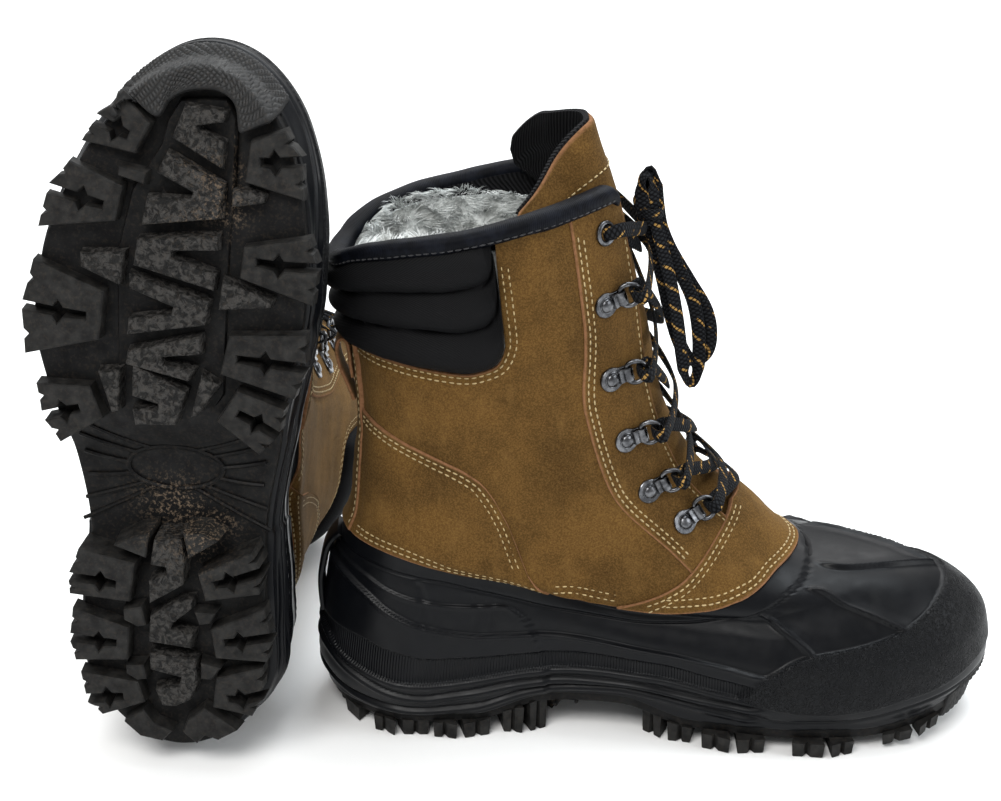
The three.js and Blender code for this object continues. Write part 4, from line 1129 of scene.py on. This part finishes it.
def cream_rows():
    rows = []
    up = np.linspace(0, 1, 160)
    for side in ("medial", "lateral"):
        def add_line(t, h, over, shifts):
            if side == "lateral":
                t, shifts = 1 - t, [-s for s in shifts]
            rows.append(stitch_rows(t, h, over, shifts))

        t = BACKSTAY + 0.008 + up * (0.212 - BACKSTAY - 0.008)
        add_line(t, LEATHER_FOOT(t), HEEL, [2.6, 5.4])
        t = 0.2185 + up * (0.272 - 0.2185)
        add_line(t, LEATHER_FOOT(t), QUARTER, [2.6, 5.4])
        t = BACKSTAY + 0.004 + up * (0.2125 - BACKSTAY - 0.004)
        add_line(t, heel_top(t), HEEL, [-2.4, -5.0])
        h = 5.75 + up * (9.75 - 5.75)
        add_line(eyestay_back(h), h, STAY, [-2.4, -4.9])
        add_line(throat(h), h, STAY, [2.6])
        t = BACKSTAY + up * (0.2593 - BACKSTAY)
        pad_line = pad_foot(t)
        add_line(t, np.minimum(pad_line, 9.75), QUARTER, [-2.3, -5.0])
        h = LEATHER_FOOT(0.0) + 0.1 + up * (8.35 - LEATHER_FOOT(0.0) - 0.1)
        add_line(np.full_like(h, BACKSTAY), h, BACK, [2.2])
    h = np.linspace(5.22, VAMP_TOP - 0.02, 120)
    t = vamp_edge(h)
    rows.append(stitch_rows(t, h, VAMP, [-2.4, -5.0]))
    rows.append(stitch_rows(1 - t, h, VAMP, [2.4, 5.0]))
    t = np.linspace(0.302, 0.698, 260)
    rows.append(stitch_rows(t, LEATHER_FOOT(t), VAMP, [2.8, 5.6]))
    return np.concatenate(rows)


# ---------------------------------------------------------------- collar, liner and tongue
def collar_pad():
    half = spread(112, 1.7)
    s, v = np.meshgrid(np.concatenate([-half[::-1], half[1:]]), spread(42, 1.1, (0.2, 0.5, 0.9)))
    t = s * PAD_END
    low = pad_foot(np.abs(t)) + 0.01
    h = low + v * (LEATHER_TOP - low)
    at, _, _, normal = skin_frame(t, h)
    across, up = lengths(at, 1), lengths(at, 0)
    share = up / up[-1:]
    cut = np.array([0.0, 0.35, 0.68, 1.0])
    tube = np.clip(np.searchsorted(cut, share) - 1, 0, 2)
    u = (share - cut[tube]) / (cut[tube + 1] - cut[tube])
    puff = np.sqrt(np.maximum(np.sin(np.pi * np.clip(u, 0, 1)), 0))
    ends = np.minimum(across, across[:, -1:] - across)
    puff = puff * np.sqrt(smooth(ends, -0.5, 9))
    crease = wobble(at * (1, 1, 0.35), 13, 61) * (1 - puff) + 0.25 * wobble(at, 22, 62)
    out = 1.2 + 7.2 * puff + 0.4 * crease - rounded(np.minimum(ends, up), 0.7)
    uv = np.stack([across, up], -1)
    return slab(at + normal * out[..., None], at + normal * 0.3, uv=uv)


RIM_END = 0.444


def along_rim(turns):
    """Points of the rim and their outward directions in the level plane."""
    at, _, _, normal = skin_frame(turns, np.full(len(turns), RIM))
    return at, unit(normal * (1, 1, 0))


def binding():
    turns = np.linspace(-RIM_END, RIM_END, 200)
    at, flat = along_rim(turns)
    outline = [(3.3, -6.0), (4.4, -4.4), (4.9, -1.5), (4.6, 0.9), (3.1, 2.9), (0.6, 3.8), (-2.2, 3.6),
               (-4.6, 2.2), (-5.8, -0.6), (-5.9, -3.4), (-5.2, -4.8), (-4.3, -3.8), (-2.6, -2.0), (0.2, -2.0),
               (1.9, -3.8), (2.4, -5.8)]
    wide = smooth_path(outline, 27, closed=True)[:-1] * (1, 0.8)
    end = np.minimum(turns - turns[0], turns[-1] - turns)
    size = np.sqrt(0.2 + 0.8 * smooth(end, 0, 0.012))
    drop = 5.0 * (1 - smooth(end, 0, 0.03)) ** 2
    size = size * (1 + 0.04 * wobble(at, 14, 71))
    ring = (at[:, None] + UP * (1.6 - drop)[:, None, None]
            + flat[:, None] * (wide[:, 0] * size[:, None])[..., None]
            + UP * (wide[:, 1] * size[:, None])[..., None])
    n, k = ring.shape[:2]
    uv = np.stack(np.broadcast_arrays(distances(at)[:, None], np.arange(k)[None] * 1.3), -1)
    return {"points": ring.reshape(-1, 3), "faces": tube_faces(n, k), "uv": uv.reshape(-1, 2)}


def binding_rows():
    at, flat = along_rim(np.linspace(-RIM_END + 0.02, RIM_END - 0.02, 200))
    p = at + flat * 4.6 - UP * 1.6
    return row_along(p, flat, 2.0, 2.0, pitch=3.4)


LINER_THROAT = 0.372
LINER_THICK = 5
FLEECE_FOOT, FLEECE_ROWS = 6.3, 36  # the level over which the liner is cut finer
set_in = curve((0, 4.2), (2, 5.7), (4.9, 4.2), (5.5, 3), (10, 3))


def boot_inside(turn, height, out):
    """The bootie follows the sole under height 0 and the skin over it."""
    under = sole(turn, np.clip(-height, 0, 1), -np.abs(out))
    over = offset(turn, np.maximum(height, 0), out)
    return np.where((height < 0)[..., None], under, over)


facing_depth = curve((0, 0.06), (0.12, 0.08), (0.25, 0.22), (0.36, 0.42), (0.44, 0.9))


def pile_top(turn):
    return RIM - facing_depth(np.abs(turn))


def liner():
    turns = np.linspace(-LINER_THROAT, LINER_THROAT, 150)
    low = np.array([-1, -0.6, -0.2, 0.0, 0.5, 1, 2, 3, 4, 4.95, 5.6, FLEECE_FOOT])
    share = np.concatenate([np.zeros(len(low)), np.linspace(0.02, 1, FLEECE_ROWS)])
    t, h = np.meshgrid(turns, np.concatenate([low, np.full(FLEECE_ROWS, FLEECE_FOOT)]))
    h = h + share[:, None] * (pile_top(t) - FLEECE_FOOT)
    at = skin(t, np.maximum(h, 0))
    depth = set_in(np.maximum(h, 0))
    fuzz = 0.7 * wobble(at, 7, 81) + 0.5 * wobble(at, 3.4, 82)
    outer = boot_inside(t, h, -depth)
    inner = boot_inside(t, h, -depth - LINER_THICK - fuzz * (h > 6))
    front_t = np.linspace(LINER_THROAT, 1 - LINER_THROAT, 40)
    t, h = np.meshgrid(front_t, low)
    depth = set_in(np.maximum(h, 0))
    front = slab(boot_inside(t, h, -depth), boot_inside(t, h, -depth - LINER_THICK), tip=np.zeros(t.shape))
    back = slab(outer, inner, tip=np.zeros(outer.shape[:2]))
    return joined([back, front])


def facing():
    """The black lining band inside the collar, between the binding and the pile."""
    t, v = np.meshgrid(np.linspace(-0.435, 0.435, 160), np.linspace(0, 1, 9))
    h = RIM - (facing_depth(np.abs(t)) + 0.2) * (1 - v)
    at, _, _, normal = skin_frame(t, h)
    uv = np.stack([lengths(at, 1), lengths(at, 0)], -1)
    return slab(at - normal * 4.6, at - normal * 6.2, uv=uv)


def pile(count=26000):
    """Tufts of fleece on the inner face of the collar."""
    r = np.random.default_rng(5)
    t = r.uniform(-LINER_THROAT, LINER_THROAT, count)
    top = pile_top(t)
    h = top - r.uniform(0, 1, count) ** 1.2 * 1.5
    at, along, up, normal = skin_frame(t, h)
    root = at - normal * 7.4
    root[:, 2] += curve((0, 4.6), (0.2, 3.6), (0.3, 1.0), (0.4, 0))(np.abs(t)) * smooth(h, top - 0.3, top)
    clump = wobble(root, 9, 91)[:, None]
    swirl = wobble(root, 15, 92)[:, None]
    towards = unit(up * (0.75 + 0.3 * clump) - normal * (0.85 - 0.3 * clump)
                   + along * (r.normal(0, 0.22, (count, 1)) + 0.7 * swirl))
    curl = unit(along * (0.8 * swirl + r.normal(0, 0.5, (count, 1))) - up * 0.9 - normal * 0.3)
    long = r.uniform(4.5, 8.5, (count, 1)) * (1 + 0.18 * clump)
    side = unit(np.cross(towards, r.normal(size=(count, 3)))) * r.uniform(0.11, 0.24, (count, 1))
    steps = []
    for s, w in ((0.0, 1.0), (0.4, 0.9), (0.75, 0.6)):
        centre = root + towards * (long * s) + curl * (long * 0.35 * s * s)
        steps += [centre - side * w, centre + side * w]
    steps.append(root + towards * long + curl * (long * 0.35))
    p = np.stack(steps, 1)
    small = [[0, 1, 3, 2], [2, 3, 5, 4], [4, 5, 6]]
    faces = [[v + i * 7 for v in f] for i in range(count) for f in small]
    tip = np.tile([0, 0, 0.3, 0.3, 0.7, 0.7, 1.0], count) * np.repeat(r.uniform(0.3, 1, count), 7)
    return {"points": p.reshape(-1, 3), "faces": faces, "values": {"tip": tip}}


tongue_set_in = curve((6.3, 1), (8, 1.2), (10, 1.5), (11, 0))
tongue_edge_in = curve((6.3, 1), (8, 1.2), (9, 3.5), (9.6, 10.2), (11, 10.5))
tongue_half = curve((6.3, 0.09), (9, 0.094), (9.5, 0.1), (9.8, 0.15), (10.2, 0.19), (10.6, 0.19), (11, 0.165))


def tongue_inset(s, row):
    """How far under the skin the tongue lies, from its middle (s = 0) to its edges (s = -1 and 1)."""
    edge = smooth(np.abs(s), 0.1, 0.62)
    return tongue_set_in(row) * (1 - edge) + tongue_edge_in(row) * edge


def tongue_grid():
    s, v = np.meshgrid(np.linspace(-1, 1, 61), np.concatenate([np.linspace(0, 1, 90), [1.0]]))
    corner = np.sqrt(np.maximum(1 - np.clip((np.abs(s) - 0.62) / 0.38, 0, 1) ** 2, 0))
    top = 10.97 - 0.5 * (1 - corner)
    row = TONGUE_FOOT + v * (top - TONGUE_FOOT)
    return 0.5 + s * tongue_half(row), row, tongue_inset(s, row)


def tongue_lift(s, row):
    """The free end stands higher on the outer side than on the inner one."""
    free = smooth(row, 9.7, 10.95)
    return (9 * smooth(s, 0.0, 0.9) - 10 * smooth(-s, 0.2, 0.9)) * free


def tongue_layers():
    t, row, inset = tongue_grid()
    at, _, _, normal = skin_frame(t, row)
    at[..., 2] += tongue_lift((t - 0.5) / tongue_half(row), row)
    across, up = lengths(at, 1), lengths(at, 0)
    near = np.minimum(np.minimum(across, across[:, -1:] - across), up[-1:] - up)
    wrinkle = 0.3 * wobble(at, 30, 101)
    outer = at - normal * (inset - wrinkle + rounded(near, 0.9))[..., None]
    middle = at - normal * (inset + 2.0)[..., None]
    uv = np.stack([across, up], -1)
    leather_part = slab(outer, middle, uv=uv, edge=(1 - smooth(near, 0.4, 1.4)) * (row > 9))
    proud = 1.4 * ridge(near, 1.2) * (row > 9.6)
    lining_out = at - normal * (inset + 2.05)[..., None] + UP * proud[..., None]
    lining_in = at - normal * (inset + 4.6 - 0.6 * wrinkle)[..., None] + UP * proud[..., None]
    return leather_part, slab(lining_out, lining_in, uv=uv)


def tongue_rows():
    s = np.linspace(-0.8, 0.8, 140)
    row = 10.28 - 0.35 * np.abs(s) ** 2
    at, _, _, normal = skin_frame(0.5 + s * tongue_half(row), row)
    at[..., 2] += tongue_lift(s, row)
    p = at - normal * (tongue_inset(s, row) - 0.15)[:, None]
    return row_along(p, normal, 2.0, 2.0)


# ---------------------------------------------------------------- hardware and laces
RING_PLACES = [(0.372, 9.2), (0.36, 8.45), (0.36, 7.7), (0.364, 7), (0.374, 6.35)]
EYELET_PLACE = (0.392, 9.7)
BAR_X, BAR_Z, BOW, WIRE, RING_TILT = 7.5, 2.1, 8.6, 1.1, 28
LEATHER_FACE = 2.3  # where the fittings sit over the skin
LACE_PLAY, UNDER, OVER = 5, 3.6, 7
LACE_WIDTH, LACE_THICK = 6.4, 1.7


def ring_frame(at_place, side):
    turn, height = at_place
    at, along, up, out = skin_frame(np.array(turn if side == "medial" else 1 - turn), np.array(height))
    towards = unit(along * (1 if side == "medial" else -1) + up * 0.3)
    m = np.eye(4)
    m[:3, 0], m[:3, 1], m[:3, 2] = towards, unit(np.cross(out, towards)), out
    m[:3, 3] = at + out * LEATHER_FACE
    return m


def bracket():
    a = np.linspace(math.radians(58), math.radians(302), 17)
    head = [(-0.3 + 5.7 * math.cos(v), 5.4 * math.sin(v)) for v in a]
    plate = prism([*head, (4.4, -3.7), (BAR_X + 0.4, -3.2), (BAR_X + 0.4, 3.2), (4.4, 3.7)], -0.4, 1.25)
    rivet = lathe([(3.7, 1.0), (3.65, 1.5), (3.4, 1.62), (3.1, 1.5), (3.0, 1.95), (2.5, 2.5), (1.5, 2.85),
                   (0.3, 2.95)], 24)
    rivet["points"] = rivet["points"] + (-0.3, 0, 0)
    a = np.linspace(-0.62 * math.pi, 0.95 * math.pi, 15)
    outer = [(BAR_X + 2.35 * math.cos(v), BAR_Z + 2.35 * math.sin(v)) for v in a]
    inner = [(BAR_X + 1.5 * math.cos(v), BAR_Z + 1.5 * math.sin(v)) for v in a[::-1]]
    tail = [(3.0, BAR_Z + 0.55), (2.4, 1.1), (3.4, 1.1)]
    xz = np.array([*outer, *tail, *inner])
    sides = [np.column_stack([xz[:, 0], np.full(len(xz), y), xz[:, 1]]) for y in (-3.1, -2.85, 2.85, 3.1)]
    centre = xz.mean(0)
    for k in (0, 3):
        sides[k][:, [0, 2]] += (centre - xz) * 0.03
    return joined([plate, rivet, {"points": np.concatenate(sides), "faces": tube_faces(4, len(xz))}])


def eyelet():
    return lathe([(3.25, -2.0), (3.25, 1.0), (3.6, 1.5), (4.3, 1.75), (5.0, 1.55), (5.45, 1.0), (5.5, 0.2),
                  (5.0, 0.0), (3.6, -0.1)], 28)


def d_ring():
    a = np.linspace(-0.5 * math.pi, 0.5 * math.pi, 13)
    bow = [(2.6 + (BOW - 2.6) * math.cos(v), 5 * math.sin(v), 0) for v in a]
    outline = [(0, -2.2, 0), (0, -3.5, 0), (0.6, -4.3, 0), *bow, (0.6, 4.3, 0), (0, 3.5, 0), (0, 2.2, 0)]
    path = smooth_path(outline, 49, closed=True)[:-1]
    return ribbon(path, np.tile(UP, (len(path), 1)), 2 * WIRE, 2 * WIRE, 10, loop=True)


def by_ring(at_place, side, reach, lift):
    tilt = math.radians(RING_TILT)
    x = BAR_X + reach * math.cos(tilt) - lift * math.sin(tilt)
    z = BAR_Z + reach * math.sin(tilt) + lift * math.cos(tilt)
    m = ring_frame(at_place, side)
    return m[:3, :3] @ (x, 0, z) + m[:3, 3], m[:3, 1] * (1 if side == "medial" else -1)


def over_tongue(height, out):
    at, _, up, normal = skin_frame(np.array(0.5), np.array(height))
    return at + normal * (out - 1.2), up


def through_eyelet(side):
    turn = 1 if side == "medial" else -1
    start, height = EYELET_PLACE

    def by(ahead, out):
        at, _, up, normal = skin_frame(np.array(0.5 + turn * (start + ahead - 0.5)), np.array(height))
        return at + normal * out, up

    end = np.array([149, 5.0 * -turn, 238]), UP
    return [by(0.028, -3), by(0.001, -1.4), by(0.001, 4.2), by(0.02, 7), end]


def lace_half(start, out):
    places = RING_PLACES[::-1]
    other = "lateral" if start == "medial" else "medial"
    route = []
    for i, at_place in enumerate(places):
        side = other if i % 2 else start
        following = places[i + 1] if i + 1 < len(places) else EYELET_PLACE
        route += [by_ring(at_place, side, 10, -LACE_PLAY), by_ring(at_place, side, 4.5, 0),
                  by_ring(at_place, side, 10, LACE_PLAY), over_tongue((at_place[1] + following[1]) / 2, out)]
    return route + through_eyelet(other)


def lace_route():
    bottom_height = RING_PLACES[-1][1]
    at, _, _, normal = skin_frame(np.array(0.5), np.array(bottom_height))
    bottom = at + normal * (LEATHER_FACE + 2.6), skin_frame(np.array(0.5), np.array(6.3))[2]
    route = [*lace_half("lateral", UNDER)[::-1], bottom, *lace_half("medial", OVER)]
    both = np.array([np.concatenate([a, b * 4]) for a, b in route])
    path = smooth_path(both, 420)
    return path[:, :3], path[:, 3:]


def length_of(path):
    return float(np.linalg.norm(np.diff(path, axis=0), axis=1).sum())


def hank_route():
    """Long bights of the lace gathered in front of the tongue, folded at the top and hanging in loops."""
    stops = [(150, -4.5, 239), (147.5, -3.5, 249), (147, -3, 259), (149.5, -2.8, 262), (151.5, -2.6, 258),
             (152.5, -2.5, 247), (156, -2.2, 232), (161, -2.2, 214), (165, -2.2, 196), (168, -2, 178),
             (170.5, -1.4, 166), (173.5, -0.6, 162.5), (176, 0, 168), (176, 0.2, 184), (172.5, 0.2, 202),
             (164, 0, 220), (157, -0.4, 236), (154.5, -0.4, 248), (153.2, -0.2, 258), (150.8, 0.2, 264),
             (148, 0.6, 259), (149, 0.8, 246), (153.5, 1, 230), (158.5, 1.2, 212), (163, 1.4, 194),
             (168, 1.6, 180), (174, 1.8, 172.5), (180, 1.9, 176), (181.5, 2, 186), (178.5, 2.2, 198),
             (170, 2.6, 212), (161, 3, 227), (155.5, 3.2, 241), (153, 3.4, 254), (150, 3.6, 258),
             (147, 3.8, 250), (149.5, 4.3, 240)]
    path = smooth_path(stops, 330)
    ahead = unit(np.gradient(path, axis=0))
    bend = np.linalg.norm(np.gradient(ahead, axis=0), axis=1) / (length_of(path) / 330)
    bend = np.convolve(np.pad(bend, 6, mode="edge"), np.ones(13) / 13, mode="valid")
    twist = np.radians(18 + 62 * smooth(bend, 0.06, 0.2))[:, None]
    flat = unit(np.cross(ahead, LEFT))
    return path, flat * np.cos(twist) + LEFT * np.sin(twist)


def wrap_shape():
    """Two turns of lace round the gathered bights."""
    a = np.linspace(0, 4 * math.pi, 70)
    path = np.stack([151.6 + 5.4 * np.cos(a), 6.6 * np.sin(a), 242.5 + 0.85 * a / math.pi - 0.35 * np.cos(a)], -1)
    return ribbon(path, np.tile(UP, (len(a), 1)), 3.2, 1.5)


def build_laces(side):
    path, sides = lace_route()
    shape = ribbon(path, sides, LACE_WIDTH, LACE_THICK, 12, power=0.8)
    o = add(side, "lace", shape, LACE, nodes=["lace"], sharp=60)
    path, sides = hank_route()
    tie = add(side, "lace_wrap", wrap_shape(), LACE, sharp=60)
    shape = ribbon(path, sides, LACE_WIDTH, LACE_THICK, 12, power=0.8)
    o = add(side, "lace_hank", shape, LACE, nodes=["lace_hank"], sharp=60)


def build_half(side, part):
    """The leather and the fittings on the inner or outer half of a boot."""
    for name, shape in (("quarter", quarter), ("heel_panel", heel_panel), ("eyestay", eyestay)):
        add(side, f"{name}_{part}", shape(part), SUEDE, nodes=[f"{name}_{part}"])
    fittings = [moved(bracket(), ring_frame(p, part)) for p in RING_PLACES]
    fittings.append(moved(eyelet(), ring_frame(EYELET_PLACE, part)))
    add(side, f"fittings_{part}", joined(fittings), METAL, recalc=True, sharp=35)
    tilt = np.eye(4)
    tilt[:3, :3] = turned("y", -RING_TILT)
    tilt[:3, 3] = (BAR_X, 0, BAR_Z)
    for i, p in enumerate(RING_PLACES):
        name = f"ring_{part}_{i + 1}"
        add(side, name, moved(d_ring(), ring_frame(p, part) @ tilt), METAL, body=name, nodes=[name], recalc=True,
            sharp=60)


def build_tongue(side):
    outer, lining = tongue_layers()
    start, end = (place(side, skin(0.5, h)) for h in (9.3, 10.2))
    for name, shape, material, nodes in (
            ("tongue", outer, SUEDE, ["tongue", "tongue_top"]),
            ("tongue_lining", lining, KNIT, []),
            ("tongue_stitching", stitches(tongue_rows()), CREAM, [])):
        o = add(side, name, shape, material, body=None, nodes=nodes, crease=name != "tongue_stitching")
        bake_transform(o)


def build(side):
    build_laces(side)
    add(side, "foot_shell", foot_shell(), SHELL, nodes=["foot_shell"], crease=False)
    add(side, "heel_loop", heel_loop(), SHELL, nodes=["heel_loop"])
    add(side, "outsole", outsole(), TREAD, nodes=["outsole"], recalc=True, sharp=30)
    for part in ("medial", "lateral"):
        build_half(side, part)
    add(side, "vamp", vamp(), SUEDE, nodes=["vamp"])
    add(side, "backstay", backstay(), SUEDE, nodes=["backstay"])
    add(side, "stitching", stitches(cream_rows()), CREAM, crease=False)
    pad = add(side, "collar_pad", collar_pad(), PAD, nodes=["collar_pad"])
    add(side, "collar_binding", binding(), TAPE, nodes=["collar_binding"], sharp=70)
    add(side, "binding_stitching", stitches(binding_rows(), 2.6, 0.35), DARK, crease=False)
    add(side, "liner", liner(), FLEECE, nodes=["liner"])
    add(side, "collar_facing", facing(), KNIT)
    add(side, "pile", pile(), FLEECE, crease=False)
    build_tongue(side)
    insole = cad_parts[f"{side}_insole"]
    insole.data.materials.clear()
    insole.data.materials.append(FELT)


for each in ("left", "right"):
    build(each)


# ---------------------------------------------------------------- floor and light
def floor():
    m = Look("floor", (0.93, 0.93, 0.925), 0.9, Specular_IOR_Level=0.1)
    m.color(m.mix(m.span(m.noise(300, 3), 0.3, 0.7, 0, 0.15), (0.94, 0.94, 0.935), (0.9, 0.9, 0.895)))
    mesh = bpy.data.meshes.new("floor")
    b = bmesh.new()
    bmesh.ops.create_grid(b, x_segments=24, y_segments=24, size=6)
    b.to_mesh(mesh)
    b.free()
    mesh.materials.append(m.mat)
    o = bpy.data.objects.new("floor", mesh)
    bpy.context.scene.collection.objects.link(o)


def lamp(name, location, target, size, power, color=(1, 1, 1)):
    data = bpy.data.lights.new(name, "AREA")
    data.shape = "RECTANGLE"
    data.size, data.size_y = size
    data.energy = power
    data.color = color
    o = bpy.data.objects.new(name, data)
    o.location = location
    o.rotation_euler = (Vector(target) - Vector(location)).to_track_quat("-Z", "Y").to_euler()
    bpy.context.scene.collection.objects.link(o)


floor()
lamp("key", (-0.5, -1.1, 1.5), (0, 0, 0.12), (1.0, 0.7), 24, (1.0, 0.99, 0.97))
lamp("top", (0.3, 0.3, 1.6), (0.05, 0, 0.1), (1.2, 0.8), 22, (0.9, 0.96, 1.0))
lamp("back", (0, 2.1, 1.9), (0, 1.5, 0), (4.0, 1.6), 62)
lamp("side", (1.3, -0.5, 0.7), (0.05, -0.05, 0.12), (0.7, 0.7), 9, (0.93, 0.97, 1.0))
world = bpy.data.worlds.new("world")
bpy.context.scene.world = world
world.use_nodes = True
world.node_tree.nodes["Background"].inputs["Color"].default_value = (0.98, 0.99, 1.0, 1)
world.node_tree.nodes["Background"].inputs["Strength"].default_value = 0.5
bpy.context.scene.view_settings.view_transform = "Standard"
